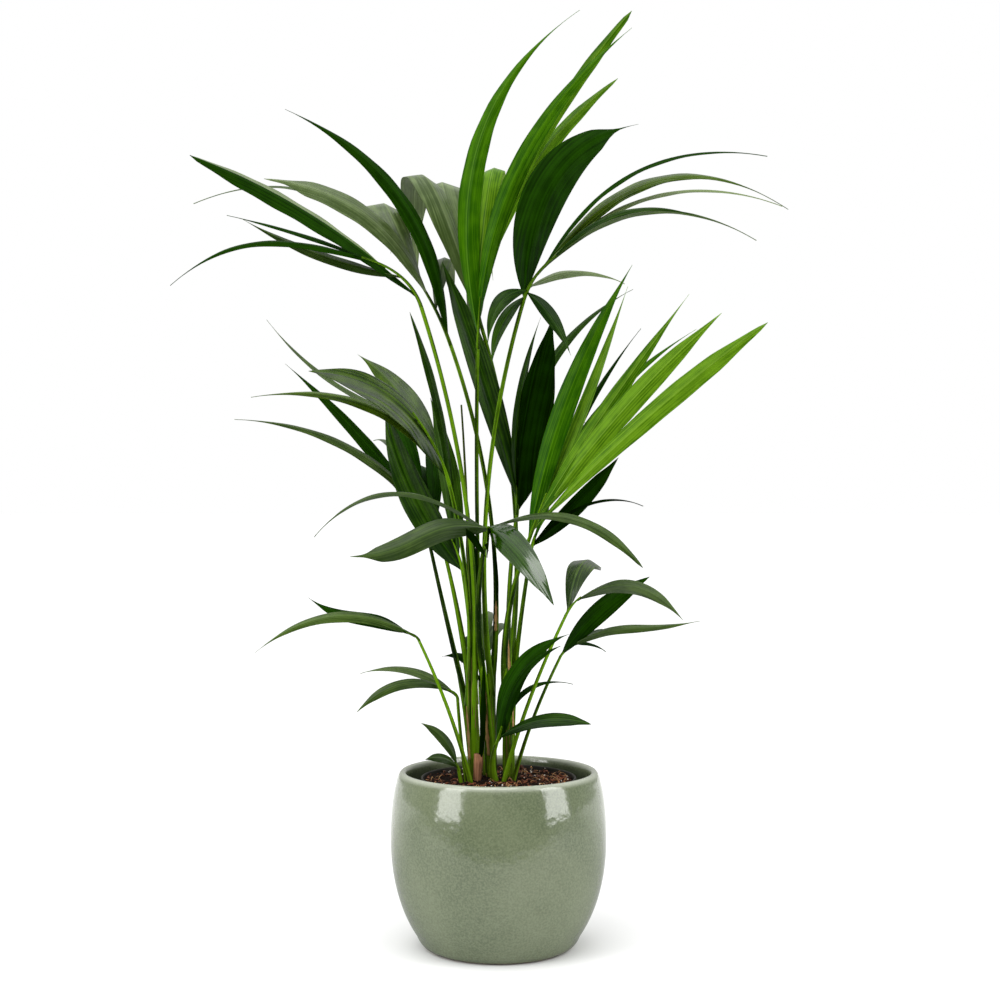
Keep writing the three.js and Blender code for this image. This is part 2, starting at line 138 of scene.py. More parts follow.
class Graph:
    """A node tree with short ways to add and join nodes."""

    def __init__(self, tree: bpy.types.NodeTree) -> None:
        """Keeps the tree."""
        self.tree = tree

    def add(self, kind: str, settings: dict[str, object] | None = None,
            **sockets: object) -> bpy.types.Node:
        """Adds a node, sets it and joins or fills its inputs.

        Args:
            kind: The node's type.
            settings: Properties of the node itself.
            **sockets: Inputs by name, with _ for a space: a value, or a socket to join.

        Returns:
            The new node.
        """
        node = self.tree.nodes.new(kind)
        for name, value in (settings or {}).items():
            setattr(node, name, value)
        for name, value in sockets.items():
            self.feed(node.inputs[name.replace("_", " ")], value)
        return node

    def feed(self, socket: bpy.types.NodeSocket, value: object) -> None:
        """Joins a socket to another, or gives it a value.

        Args:
            socket: The input.
            value: An output to join it to, or what it is to hold.
        """
        if isinstance(value, bpy.types.NodeSocket):
            self.tree.links.new(value, socket)
        else:
            socket.default_value = value

    def place(self, group: bpy.types.NodeTree, **sockets: object) -> bpy.types.NodeOutputs:
        """Places a shared group with its own values and gives its outputs."""
        return self.add("ShaderNodeGroup", {"node_tree": group}, **sockets).outputs

    def axis(self, name: str) -> bpy.types.NodeSocket:
        """Reads one axis of the Object coordinates."""
        place = self.add("ShaderNodeTexCoord").outputs["Object"]
        return self.add("ShaderNodeSeparateXYZ", Vector=place).outputs[name]

    def maths(self, operation: str, *values: object) -> bpy.types.NodeSocket:
        """Adds a Math node.

        Args:
            operation: What the node works out.
            *values: Its inputs in order: numbers or sockets.

        Returns:
            The result's socket.
        """
        node = self.add("ShaderNodeMath", {"operation": operation})
        for socket, value in zip(node.inputs, values):
            self.feed(socket, value)
        return node.outputs[0]

    def weigh(self, *terms: tuple[bpy.types.NodeSocket, float]) -> bpy.types.NodeSocket:
        """Adds up sockets, each by its weight.

        Args:
            *terms: A socket and its weight.

        Returns:
            The sum's socket.
        """
        total: object = 0.0
        for socket, weight in terms:
            total = self.maths("MULTIPLY_ADD", socket, weight, total)
        return total

    def stretch(self, value: bpy.types.NodeSocket, low: float, high: float,
                to_low: float = 0.0, to_high: float = 1.0) -> bpy.types.NodeSocket:
        """Maps a range of a value smoothly to another range."""
        return self.add("ShaderNodeMapRange", {"interpolation_type": "SMOOTHSTEP"}, Value=value,
                        From_Min=low, From_Max=high, To_Min=to_low, To_Max=to_high).outputs[0]

    def blend(self, share: object, first: object, second: object) -> bpy.types.NodeSocket:
        """Mixes two colours.

        Args:
            share: How much of the second, a number or a socket.
            first: A colour or a socket.
            second: A colour or a socket.

        Returns:
            The mixed colour's socket.
        """
        node = self.add("ShaderNodeMix", {"data_type": "RGBA"})
        # A Mix node has inputs of every type. Its factor is 0, and 6 and 7 are its colours.
        for index, value in ((0, share), (6, first), (7, second)):
            self.feed(node.inputs[index], value)
        return node.outputs[2]


def new_group(name: str, inputs: dict[str, float], outputs: Iterable[str]) -> Graph:
    """Starts a shader node group whose sockets are all plain numbers.

    Args:
        name: The group's name.
        inputs: Each input's name and default.
        outputs: The outputs' names.

    Returns:
        The group's graph.
    """
    tree = bpy.data.node_groups.new(name, "ShaderNodeTree")
    for label, value in inputs.items():
        socket = tree.interface.new_socket(label, in_out="INPUT", socket_type="NodeSocketFloat")
        socket.default_value = value
    for label in outputs:
        tree.interface.new_socket(label, in_out="OUTPUT", socket_type="NodeSocketFloat")
    return Graph(tree)


def fibre_group() -> bpy.types.NodeTree:
    """Makes the lengthwise fibres and veins that leaflets, petioles and sheaths share.

    The pattern follows the UV map: u runs across, and v along in metres from the root, plus the
    body's own multiple of BODY_MARK.

    Returns:
        The group, with Streak, Patch, Own (one level for the whole blade), Rib, Root (1 at the
        root, fading out over 10 cm, where leaflets paint in shade) and Relief.
    """
    graph = new_group("lengthwise_fibres", {"Lines": 30.0, "Run": 6.0, "Rib Width": 0.03},
                      ("Streak", "Patch", "Own", "Rib", "RootShade", "Relief"))
    given = graph.add("NodeGroupInput").outputs
    uv = graph.add("ShaderNodeUVMap")
    parts = graph.add("ShaderNodeSeparateXYZ", Vector=uv.outputs["UV"])
    across, along = parts.outputs["X"], parts.outputs["Y"]

    def noise_at(lines: object, run: object, detail: float) -> bpy.types.NodeSocket:
        """Adds noise that is drawn out along the blade.

        Args:
            lines: How often it changes across the blade.
            run: How often it changes in a metre of the blade's length.
            detail: How fine it is.

        Returns:
            The noise's socket.
        """
        place = graph.add("ShaderNodeCombineXYZ", X=graph.maths("MULTIPLY", across, lines),
                          Y=graph.maths("MULTIPLY", along, run))
        texture = graph.add("ShaderNodeTexNoise", Vector=place.outputs[0], Scale=1.0,
                            Detail=detail, Roughness=0.55)
        return graph.stretch(texture.outputs["Fac"], 0.3, 0.7)

    streak = noise_at(given["Lines"], given["Run"], 2.0)
    patch = noise_at(2.4, 42.0, 1.0)
    body = graph.maths("FLOOR", graph.maths("DIVIDE", along, BODY_MARK))
    own = graph.add("ShaderNodeTexWhiteNoise", {"noise_dimensions": "1D"}, W=body)
    # Near each blade's root, where leaflets darken as painted shade.
    root = graph.stretch(graph.maths("MODULO", along, BODY_MARK), 0.0, 0.10, 1.0, 0.0)
    off_middle = graph.maths("ABSOLUTE", graph.maths("SUBTRACT", across, 0.5))
    rib = graph.stretch(graph.maths("DIVIDE", off_middle, given["Rib Width"]), 0.3, 1.0, 1.0, 0.0)
    pleat = graph.maths("SINE", graph.maths("MULTIPLY", off_middle, 62.0))
    graph.add("NodeGroupOutput", Streak=streak, Patch=patch, Own=own.outputs["Value"], Rib=rib,
              RootShade=root, Relief=graph.weigh((streak, 0.6), (pleat, 0.35)))
    return graph.tree


def mottle_group() -> bpy.types.NodeTree:
    """Makes a soft mottle with fine specks in object space.

    Returns:
        The group, with Cloud and Speck.
    """
    graph = new_group("mottle", {"Cloud Scale": 20.0, "Speck Scale": 600.0, "Speck Size": 0.2},
                      ("Cloud", "Speck"))
    given = graph.add("NodeGroupInput").outputs
    place = graph.add("ShaderNodeTexCoord").outputs["Object"]
    clouds = graph.add("ShaderNodeTexNoise", Vector=place, Scale=given["Cloud Scale"],
                       Detail=4.0, Roughness=0.6)
    cells = graph.add("ShaderNodeTexVoronoi", Vector=place, Scale=given["Speck Scale"])
    speck = graph.maths("LESS_THAN", cells.outputs["Distance"], given["Speck Size"])
    graph.add("NodeGroupOutput", Cloud=graph.stretch(clouds.outputs["Fac"], 0.3, 0.7), Speck=speck)
    return graph.tree


@dataclass(frozen=True)
class Effects:
    """The node groups that several materials share."""

    fibres: bpy.types.NodeTree
    mottle: bpy.types.NodeTree


@dataclass(frozen=True)
class Look:
    """What feeds a material's shader: relief and depth are its bump's strength and distance."""

    colour: bpy.types.NodeSocket
    roughness: bpy.types.NodeSocket | float
    gloss: float
    height: bpy.types.NodeSocket | None = None
    relief: float = 0.0
    depth: float = 0.0006


@dataclass(frozen=True)
class Finish:
    """How a surface looks. Each kind of finish works out its own look."""

    name: str

    def look(self, graph: Graph, effects: Effects) -> Look:
        """Adds the finish's own nodes.

        Args:
            graph: The material's graph.
            effects: The shared node groups.

        Returns:
            What feeds the shader.
        """
        raise NotImplementedError

    def build(self, effects: Effects) -> bpy.types.Material:
        """Makes the material.

        Args:
            effects: The shared node groups.

        Returns:
            The material.
        """
        material = bpy.data.materials.new(self.name)
        material.use_nodes = True
        material.node_tree.nodes.clear()
        graph = Graph(material.node_tree)
        look = self.look(graph, effects)
        shader = graph.add("ShaderNodeBsdfPrincipled", Base_Color=look.colour,
                           Roughness=look.roughness, Specular_IOR_Level=look.gloss)
        if look.height is not None:
            bump = graph.add("ShaderNodeBump", Height=look.height, Strength=look.relief,
                             Distance=look.depth)
            graph.feed(shader.inputs["Normal"], bump.outputs["Normal"])
        graph.add("ShaderNodeOutputMaterial", Surface=shader.outputs["BSDF"])
        return material


@dataclass(frozen=True)
class LeafFinish(Finish):
    """One side of a leaflet of one shade.

    streak, patch, own and root say how much each pattern counts between dark and light. root is
    negative: the blade darkens near the rachis as painted shade.
    """

    dark: Colour
    light: Colour
    rib: Colour
    roughness: float
    gloss: float
    relief: float
    streak: float = 0.46
    patch: float = 0.20
    own: float = 0.38
    # Darker near the rachis: painted shade.
    root: float = -0.30
    rib_share: float = 0.4

    def look(self, graph: Graph, effects: Effects) -> Look:
        """Adds the leaf's streaks, its rib and its pleats.

        Args:
            graph: The material's graph.
            effects: The shared node groups.

        Returns:
            What feeds the shader.
        """
        fibres = graph.place(effects.fibres, Lines=17.0, Run=3.5, Rib_Width=0.035)
        tone = graph.weigh((fibres["Streak"], self.streak), (fibres["Patch"], self.patch),
                           (fibres["Own"], self.own), (fibres["RootShade"], self.root))
        colour = graph.blend(graph.stretch(tone, 0.15, 0.95), self.dark, self.light)
        rib = graph.maths("MULTIPLY", fibres["Rib"], self.rib_share)
        roughness = graph.stretch(fibres["Streak"], 0.0, 1.0, self.roughness - 0.06,
                                  self.roughness + 0.08)
        return Look(graph.blend(rib, colour, self.rib), roughness, self.gloss, fibres["Relief"],
                    self.relief)


@dataclass(frozen=True)
class StalkFinish(Finish):
    """A petiole, sheath or stem: long light and dark fibres, and another tint near its foot.

    streak, cloud and own say how much each pattern counts between dark and light.
    """

    dark: Colour
    light: Colour
    foot: Colour
    foot_share: float = 0.0
    foot_height: float = 0.30
    foot_blur: float = 0.06
    roughness: float = 0.42
    gloss: float = 0.04
    lines: float = 4.0
    speck: Colour = (0.40, 0.40, 0.22, 1.0)
    speck_share: float = 0.35
    relief: float = 0.4
    streak: float = 0.60
    cloud: float = 0.20
    own: float = 0.25

    def look(self, graph: Graph, effects: Effects) -> Look:
        """Adds the stalk's fibres, its foot's tint and its scurf.

        Args:
            graph: The material's graph.
            effects: The shared node groups.

        Returns:
            What feeds the shader.
        """
        fibres = graph.place(effects.fibres, Lines=self.lines, Run=3.0)
        mottle = graph.place(effects.mottle, Cloud_Scale=30.0, Speck_Scale=420.0, Speck_Size=0.13)
        tone = graph.weigh((fibres["Streak"], self.streak), (mottle["Cloud"], self.cloud),
                           (fibres["Own"], self.own))
        colour = graph.blend(graph.stretch(tone, 0.1, 0.9), self.dark, self.light)
        low = graph.stretch(graph.axis("Z"), self.foot_height - self.foot_blur,
                            self.foot_height + self.foot_blur, self.foot_share, 0.0)
        scurf = graph.maths("MULTIPLY", mottle["Speck"], self.speck_share)
        roughness = graph.stretch(fibres["Streak"], 0.0, 1.0, self.roughness - 0.06,
                                  self.roughness + 0.12)
        return Look(graph.blend(scurf, graph.blend(low, colour, self.foot), self.speck), roughness,
                    self.gloss, fibres["Streak"], self.relief)


@dataclass(frozen=True)
class GlazeFinish(Finish):
    """Stoneware glaze: a clear gloss over a finely mottled body, thin in flows, and pale over the
    rim as a painted highlight.
    """

    thin: Colour
    body: Colour
    pool: Colour
    pepper: Colour
    clay: Colour
    # Pale band over the rim: a painted highlight.
    rim_highlight: Colour
    rim_height: float
    roughness: Pair = (0.10, 0.17)
    relief: float = 0.26
    depth: float = 0.0012

    def look(self, graph: Graph, effects: Effects) -> Look:
        """Adds the mottle, the rim's painted highlight, the bare foot and the glaze's soft relief.

        Args:
            graph: The material's graph.
            effects: The shared node groups.

        Returns:
            What feeds the shader.
        """
        mottle = graph.place(effects.mottle, Cloud_Scale=420.0, Speck_Scale=900.0, Speck_Size=0.22)
        place = graph.add("ShaderNodeTexCoord").outputs["Object"]
        height = graph.axis("Z")
        colour = graph.blend(mottle["Cloud"], self.body, self.pool)
        flow = graph.add("ShaderNodeTexNoise", Vector=place, Scale=9.0, Detail=3.0).outputs["Fac"]
        # The pale band over the rim is a painted highlight.
        rim_highlight_low, rim_highlight_high = self.rim_height - 0.005, self.rim_height + 0.001
        for share, tint in ((graph.stretch(flow, 0.35, 0.7, 0.0, 0.35), self.thin),
                            (graph.maths("MULTIPLY", mottle["Speck"], 0.16), self.pepper),
                            (graph.stretch(height, rim_highlight_low, rim_highlight_high, 0.0, 0.45), self.rim_highlight),
                            (graph.stretch(height, 0.0012, 0.0030, 1.0, 0.0), self.clay)):
            colour = graph.blend(share, colour, tint)
        peel = graph.add("ShaderNodeTexNoise", Vector=place, Scale=120.0, Detail=1.5)
        return Look(colour, graph.stretch(mottle["Cloud"], 0.0, 1.0, *self.roughness), 1.0,
                    peel.outputs["Fac"], self.relief, self.depth)


@dataclass(frozen=True)
class GroundFinish(Finish):
    """A dull, broken-up matter: potting mix, bark, fibre or plastic."""

    dark: Colour
    light: Colour
    scale: float
    roughness: float
    relief: float
    gloss: float = 0.3

    def look(self, graph: Graph, effects: Effects) -> Look:
        """Adds the matter's mottle.

        Args:
            graph: The material's graph.
            effects: The shared node groups.

        Returns:
            What feeds the shader.
        """
        cloud = graph.place(effects.mottle, Cloud_Scale=self.scale)["Cloud"]
        return Look(graph.blend(cloud, self.dark, self.light), self.roughness, self.gloss, cloud,
                    self.relief, 0.001)


@dataclass(frozen=True)
class FloorFinish(Finish):
    """The dull white floor. Its reflection in the glaze is painted dim near the pot and bright far
    off.
    """

    seen: Colour = (0.87, 0.87, 0.87, 1.0)
    # Grey that only the glaze's reflection sees near the pot: a painted reflection.
    near: Colour = (0.42, 0.42, 0.43, 1.0)
    reach: float = 1.2

    def look(self, graph: Graph, effects: Effects) -> Look:
        """Adds the floor's colours.

        Args:
            graph: The material's graph.
            effects: The shared node groups, which it doesn't need.

        Returns:
            What feeds the shader.
        """
        mirrored = graph.add("ShaderNodeLightPath").outputs["Is Glossy Ray"]
        # Glossy rays see a painted reflection, dim near the pot.
        painted_reflection = graph.blend(graph.stretch(graph.axis("Y"), 0.0, self.reach), self.near, WHITE)
        return Look(graph.blend(mirrored, self.seen, painted_reflection), 0.9, 0.0)


@dataclass(frozen=True)
class Greens:
    """The leaf colours of one shade, on both sides."""

    upper_dark: Colour
    upper_light: Colour
    under_dark: Colour
    under_light: Colour
    rib: Colour
    roughness: float
    gloss: float
    relief: float

    def finish(self, shade: Shade, side: Side) -> LeafFinish:
        """Gives one side's finish.

        Args:
            shade: The shade, for the name.
            side: The side. The underside is a little duller.

        Returns:
            The finish.
        """
        name = f"leaf_{shade.value}_{side.value}"
        if side is Side.UPPER:
            return LeafFinish(name, self.upper_dark, self.upper_light, self.rib, self.roughness,
                              self.gloss, self.relief)
        return LeafFinish(name, self.under_dark, self.under_light, self.rib, self.roughness + 0.1,
                          self.gloss, self.relief)


GREENS: dict[Shade, Greens] = {
    # Painted shade: the green darkened for leaflets in shade.
    Shade.PAINTED_SHADE: Greens(srgb(5, 18, 0), srgb(15, 42, 1), srgb(20, 34, 8), srgb(36, 54, 18),
                      srgb(20, 48, 2), 0.36, 0.0, 0.10),
    Shade.DEEP: Greens(srgb(11, 36, 0), srgb(28, 65, 1), srgb(28, 46, 12), srgb(50, 74, 28),
                       srgb(36, 78, 6), 0.36, 0.02, 0.14),
    Shade.DUSK: Greens(srgb(15, 42, 0), srgb(52, 85, 11), srgb(32, 51, 9), srgb(58, 81, 27),
                       srgb(54, 94, 12), 0.33, 0.10, 0.18),
    Shade.MID: Greens(srgb(30, 76, 0), srgb(70, 120, 4), srgb(40, 72, 6), srgb(76, 110, 28),
                      srgb(92, 142, 20), 0.36, 0.05, 0.2),
    # Bright fresh green: partly the leaf's own colour and partly painted light shining through the
    # blade.
    Shade.FRESH: Greens(srgb(46, 90, 0), srgb(106, 150, 26), srgb(74, 112, 16),
                        srgb(124, 162, 50), srgb(144, 184, 66), 0.36, 0.07, 0.12),
    # Grey green: partly the leaf's own colour and partly painted sheen of the overhead light.
    Shade.SAGE: Greens(srgb(34, 56, 8), srgb(75, 99, 35), srgb(48, 64, 26), srgb(84, 100, 50),
                       srgb(86, 116, 40), 0.34, 0.24, 0.25),
    Shade.SATIN: Greens(srgb(22, 46, 0), srgb(76, 104, 12), srgb(36, 50, 12), srgb(76, 94, 32),
                        srgb(78, 110, 24), 0.28, 0.26, 0.22),
    # Painted sheen: the leaf's green paled and greyed for the overhead light's sheen.
    Shade.PAINTED_SHEEN: Greens(srgb(66, 86, 36), srgb(120, 140, 86), srgb(80, 98, 50),
                         srgb(124, 142, 92), srgb(140, 160, 102), 0.34, 0.32, 0.3),
    Shade.WAXED: Greens(srgb(18, 46, 0), srgb(46, 80, 2), srgb(36, 50, 12), srgb(70, 90, 34),
                        srgb(50, 88, 8), 0.11, 0.8, 0.07),
}


class Materials:
    """Every material of the plant, its pot and the floor, built once."""

    def __init__(self) -> None:
        """Builds the shared effects and all the finishes."""
        effects = Effects(fibre_group(), mottle_group())
        self.leaves: dict[tuple[Shade, Side], bpy.types.Material] = {
            (shade, side): green.finish(shade, side).build(effects)
            for shade, green in GREENS.items() for side in Side}
        self.petiole = StalkFinish(
            "petiole_green", srgb(9, 31, 0), srgb(98, 142, 10), srgb(82, 88, 22),
            foot_share=0.5, foot_height=0.228).build(effects)
        self.spear = StalkFinish(
            "spear_green", srgb(24, 40, 4), srgb(70, 84, 24), srgb(60, 78, 20)).build(effects)
        self.dry = StalkFinish(
            "dry_sheath", srgb(78, 46, 28), srgb(168, 120, 88), srgb(70, 42, 26),
            foot_share=0.15, foot_height=0.212, roughness=0.8, gloss=0.2, lines=9.0,
            speck=srgb(60, 36, 24), relief=0.8).build(effects)
        self.papery = StalkFinish(
            "papery_strip", srgb(84, 52, 24), srgb(202, 162, 106), srgb(70, 42, 20),
            foot_share=0.3, foot_height=0.24, roughness=0.8, gloss=0.2, lines=5.0,
            speck=srgb(50, 28, 14), relief=0.8).build(effects)
        self.glaze = GlazeFinish(
            "sage_glaze", thin=srgb(130, 138, 110), body=srgb(112, 122, 94),
            pool=srgb(86, 97, 71), pepper=srgb(80, 84, 66), clay=srgb(140, 124, 100),
            # The rim band's colour is a painted highlight.
            rim_highlight=srgb(196, 200, 184), rim_height=0.217).build(effects)
        self.plastic = GroundFinish(
            "nursery_plastic", srgb(22, 20, 14), srgb(40, 38, 28), scale=60.0, roughness=0.6,
            relief=0.1, gloss=0.2).build(effects)
        self.peat = GroundFinish(
            "potting_mix", srgb(8, 4, 2), srgb(36, 20, 10), scale=330.0, roughness=0.95,
            relief=0.9, gloss=0.10).build(effects)
        self.bark = GroundFinish(
            "bark_chips", srgb(8, 4, 2), srgb(124, 66, 34), scale=70.0, roughness=0.7,
            relief=0.5).build(effects)
        self.coir = GroundFinish(
            "coir_fibre", srgb(92, 44, 16), srgb(236, 178, 112), scale=90.0, roughness=0.5,
            relief=0.2, gloss=0.5).build(effects)
        # Pale grit: perlite, and partly painted glints on the mix.
        self.grit_and_painted_glints = GroundFinish(
            "pale_grit", srgb(196, 184, 164), srgb(255, 250, 240), scale=200.0, roughness=0.9,
            relief=0.3).build(effects)
        self.floor = FloorFinish("white_floor").build(effects)


# ---------------------------------------------------------------- shapes
@dataclass(frozen=True)
class Bend:
    """A quadratic curve."""

    start: Vector
    control: Vector
    end: Vector

    def point(self, t: float) -> Vector:
        """Finds the place a share of the way along."""
        return self.start * (1 - t) ** 2 + self.control * 2 * t * (1 - t) + self.end * t * t

    def tangent(self, t: float) -> Vector:
        """Finds the direction a share of the way along."""
        return ((self.control - self.start) * (1 - t) + (self.end - self.control) * t).normalized()

    def length(self) -> float:
        """Measures the curve in short straight steps."""
        places = [self.point(step / LENGTH_STEPS) for step in range(LENGTH_STEPS + 1)]
        return sum((after - before).length for before, after in zip(places, places[1:]))

    def share(self, height: float) -> float:
        """Finds where a rising curve reaches a height, by halving.

        Args:
            height: The height.

        Returns:
            The share of the way along.
        """
        low, high = 0.0, 1.0
        for _ in range(HALVINGS):
            middle = (low + high) / 2
            low, high = (middle, high) if self.point(middle).z < height else (low, middle)
        return low


def heading(bearing: float) -> Vector:
    """Finds the level direction of a bearing."""
    return Vector((math.cos(math.radians(bearing)), math.sin(math.radians(bearing)), 0.0))


def bowed(start: Vector, end: Vector, bow: Vector) -> Bend:
    """Makes a bend whose middle stands off the straight line by bow."""
    return Bend(start, (start + end) / 2 + bow * 2, end)


def oval(wide: float, deep: float, angle: float) -> Pair:
    """Finds a wall point of an oval section from its half width and half depth."""
    return wide * math.cos(angle), deep * math.sin(angle)


@dataclass(frozen=True)
class Ring:
    """Where a section of a swept body lies."""

    centre: Vector
    across: Vector
    face: Vector


def limb_ring(curve: Bend, t: float, across: Vector) -> Ring:
    """Makes a ring square to a curve.

    Args:
        curve: The curve.
        t: The share of the way along.
        across: The direction that the section's width keeps as near as it can.

    Returns:
        The ring.
    """
    along = curve.tangent(t)
    width = (across - along * across.dot(along)).normalized()
    return Ring(curve.point(t), width, width.cross(along))


class Body:
    """A mesh that grows by swept and turned bodies and becomes one object."""

    def __init__(self, name: str) -> None:
        """Starts an empty mesh with a UV map.

        Args:
            name: The piece's name.
        """
        self.name = name
        self.mesh = bmesh.new()
        self.mesh.loops.layers.uv.new("UVMap")

    def take(self, part: bmesh.types.BMesh) -> None:
        """Adds another mesh and frees it.

        Args:
            part: The mesh.
        """
        carrier = bpy.data.meshes.new("carrier")
        part.to_mesh(carrier)
        part.free()
        self.mesh.from_mesh(carrier)
        bpy.data.meshes.remove(carrier)

    def sweep(self, ring: Callable[[float], Ring], section: Section, length: float, sides: int,
              steps: int, slot: Callable[[float], int] = lambda angle: 0,
              breadth: float | None = None) -> None:
        """Adds a closed tube whose wall is carried along a path.

        Args:
            ring: Gives the section's place from the share of the way along.
            section: Gives a wall point's offsets across and out, from the share and the angle.
            length: The path's length, for the UV map.
            sides: Faces round the tube.
            steps: Faces along it.
            slot: Gives a face's material slot from its angle.
            breadth: The body's greatest width, if u follows the offset across and not the angle.
        """
        tube = bmesh.new()
        layer = tube.loops.layers.uv.new("UVMap")
        bmesh.ops.create_cone(tube, cap_ends=True, segments=sides, radius1=1.0, radius2=1.0,
                              depth=1.0)
        upright = [edge for edge in tube.edges
                   if abs(edge.verts[0].co.z - edge.verts[1].co.z) > 0.5]
        if steps > 1:
            bmesh.ops.subdivide_edges(tube, edges=upright, cuts=steps - 1, use_grid_fill=True)
        offset = random.randrange(1, BODY_MARKS) * BODY_MARK
        rings = [ring(step / steps) for step in range(steps + 1)]
        across: dict[bmesh.types.BMVert, float] = {}
        shares = {vert: vert.co.z + 0.5 for vert in tube.verts}
        angles = {vert: math.atan2(vert.co.y, vert.co.x) for vert in tube.verts}
        middles = {face: face.calc_center_median() for face in tube.faces}
        for vert in tube.verts:
            here = rings[round(shares[vert] * steps)]
            across[vert], out = section(shares[vert], angles[vert])
            vert.co = here.centre + here.across * across[vert] + here.face * out
        for face, middle in middles.items():
            centre_angle = math.atan2(middle.y, middle.x)
            face.material_index = slot(centre_angle)
            face.smooth = True
            for loop in face.loops:
                turn = (angles[loop.vert] - centre_angle + math.pi) % math.tau - math.pi
                u = 0.5 + across[loop.vert] / breadth if breadth else (
                    centre_angle + turn) / math.tau
                loop[layer].uv = (u, shares[loop.vert] * length + offset)
        if tube.calc_volume(signed=True) < 0:
            bmesh.ops.reverse_faces(tube, faces=tube.faces)
        tube.normal_update()
        self.take(tube)

    def limb(self, curve: Bend, across: Vector, section: Section, sides: int, steps: int) -> None:
        """Adds a closed tube whose sections stand square to a curve."""
        self.sweep(lambda t: limb_ring(curve, t, across), section, curve.length(), sides, steps)

    def turn(self, outline: Sequence[Pair], steps: int) -> None:
        """Spins a closed outline round the Z axis.

        Args:
            outline: Radius and height of each point, from the axis back to the axis.
            steps: Faces round the turn.
        """
        part = bmesh.new()
        part.loops.layers.uv.new("UVMap")
        verts = [part.verts.new((radius, 0.0, height)) for radius, height in outline]
        edges = [part.edges.new(pair) for pair in zip(verts, verts[1:])]
        bmesh.ops.spin(part, geom=verts + edges, cent=(0, 0, 0), axis=(0, 0, 1),
                       angle=math.tau, steps=steps, use_merge=True)
        bmesh.ops.remove_doubles(part, verts=part.verts, dist=MERGE)
        bmesh.ops.recalc_face_normals(part, faces=part.faces)
        for face in part.faces:
            face.smooth = True
        self.take(part)

    def finish(self, materials: Sequence[bpy.types.Material], slot: str, *nodes: str) -> None:
        """Turns the mesh into a piece that rides on the part's one body.

        Args:
            materials: The material slots, in order.
            slot: The record's material slot; not used.
            *nodes: The nodes that the piece stands for.
        """
        data = bpy.data.meshes.new(self.name)
        self.mesh.to_mesh(data)
        self.mesh.free()
        for material in materials:
            data.materials.append(material)
        piece = bpy.data.objects.new(self.name, data)
        bpy.context.scene.collection.objects.link(piece)
        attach(piece, "root")
        if nodes:
            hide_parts(*nodes)
        LOG.info("%s: %d faces", self.name, len(data.polygons))


def bezier(start: Pair, first: Pair, second: Pair, end: Pair, steps: int) -> list[Pair]:
    """Samples a cubic curve, without its start.

    Args:
        start: Radius and height where it starts.
        first: First handle.
        second: Second handle.
        end: Where it ends.
        steps: How many points it gives.

    Returns:
        The points.
    """
    points = []
    for step in range(1, steps + 1):
        t = step / steps
        share = ((1 - t) ** 3, 3 * t * (1 - t) ** 2, 3 * t * t * (1 - t), t ** 3)
        points.append(tuple(sum(weight * place[axis] for weight, place in
                                zip(share, (start, first, second, end))) for axis in (0, 1)))
    return points


# ---------------------------------------------------------------- pot and root ball
@dataclass
class GlazedPot:
    """The round stoneware pot."""

    materials: Materials
    height: float = 0.219
    foot: float = 0.086
    groove: float = 0.0015
    heel: Pair = (0.103, 0.016)
    belly: Pair = (0.135, 0.132)
    shoulder: Pair = (0.128, 0.205)
    rim: float = 0.115
    wall: float = 0.010
    floor: float = 0.014
    steps: int = 160

    def outline(self) -> list[Pair]:
        """Draws half of the pot's section, from the axis round to the axis.

        Returns:
            Radius and height of each point.
        """
        foot, top, rim = self.foot, self.height, self.rim
        heel, belly, shoulder = self.heel, self.belly, self.shoulder
        inside = belly[0] - self.wall
        points = [(0.0, self.groove), (foot - 0.012, self.groove), (foot - 0.010, 0.0),
                  (foot, 0.0)]
        # Each curve goes on from the last point: its two handles, its end and its points.
        for first, second, end, count in (
                ((foot + 0.006, 0.0), (heel[0] - 0.004, 0.005), heel, 8),
                ((heel[0] + 0.022, 0.048), (belly[0], 0.092), belly, 26),
                ((belly[0], 0.170), (shoulder[0] + 0.004, 0.190), shoulder, 20),
                ((shoulder[0] - 0.002, top - 0.002), (shoulder[0] - 0.005, top),
                 (rim + self.wall / 2, top), 10),
                ((rim + 0.001, top), (rim, top - 0.004), (rim, top - 0.009), 8),
                ((rim + 0.005, 0.190), (inside, 0.165), (inside, belly[1]), 14),
                ((inside, 0.090), (heel[0] + 0.008, 0.050), (foot, self.floor + 0.004), 14)):
            points += bezier(points[-1], first, second, end, count)
        return points + [(foot - 0.008, self.floor), (0.0, self.floor)]

    def build(self) -> None:
        """Turns the pot and dresses it."""
        body = Body("glazed_pot")
        body.turn(self.outline(), self.steps)
        body.finish([self.materials.glaze], "glazed_pot", "pot")


@dataclass
class NurseryPot:
    """The thin plastic pot that holds the root ball inside the glazed one."""

    materials: Materials
    bottom: float = 0.015
    top: float = 0.211
    foot: float = 0.070
    rim: float = 0.096
    wall: float = 0.0016
    floor: float = 0.0025
    roll: float = 0.0016
    steps: int = 128

    def radius(self, height: float) -> float:
        """Finds the outer radius at a height."""
        return mix(self.foot, self.rim, (height - self.bottom) / (self.top - self.bottom))

    def build(self) -> None:
        """Turns the pot with its rolled rim and dresses it."""
        inside = self.bottom + self.floor
        top = self.radius(self.top)
        outline = [(0.0, self.bottom), (self.foot, self.bottom), (top, self.top - 0.004)]
        for degrees in range(-60, 181, 30):
            aside, up = oval(self.roll, self.roll, math.radians(degrees))
            outline.append((top + aside, self.top - self.roll + up))
        outline += [(self.radius(inside) - self.wall, inside), (0.0, inside)]
        body = Body("nursery_pot_fine")
        body.turn(outline, self.steps)
        body.finish([self.materials.plastic], "nursery_plastic", "nursery_pot")


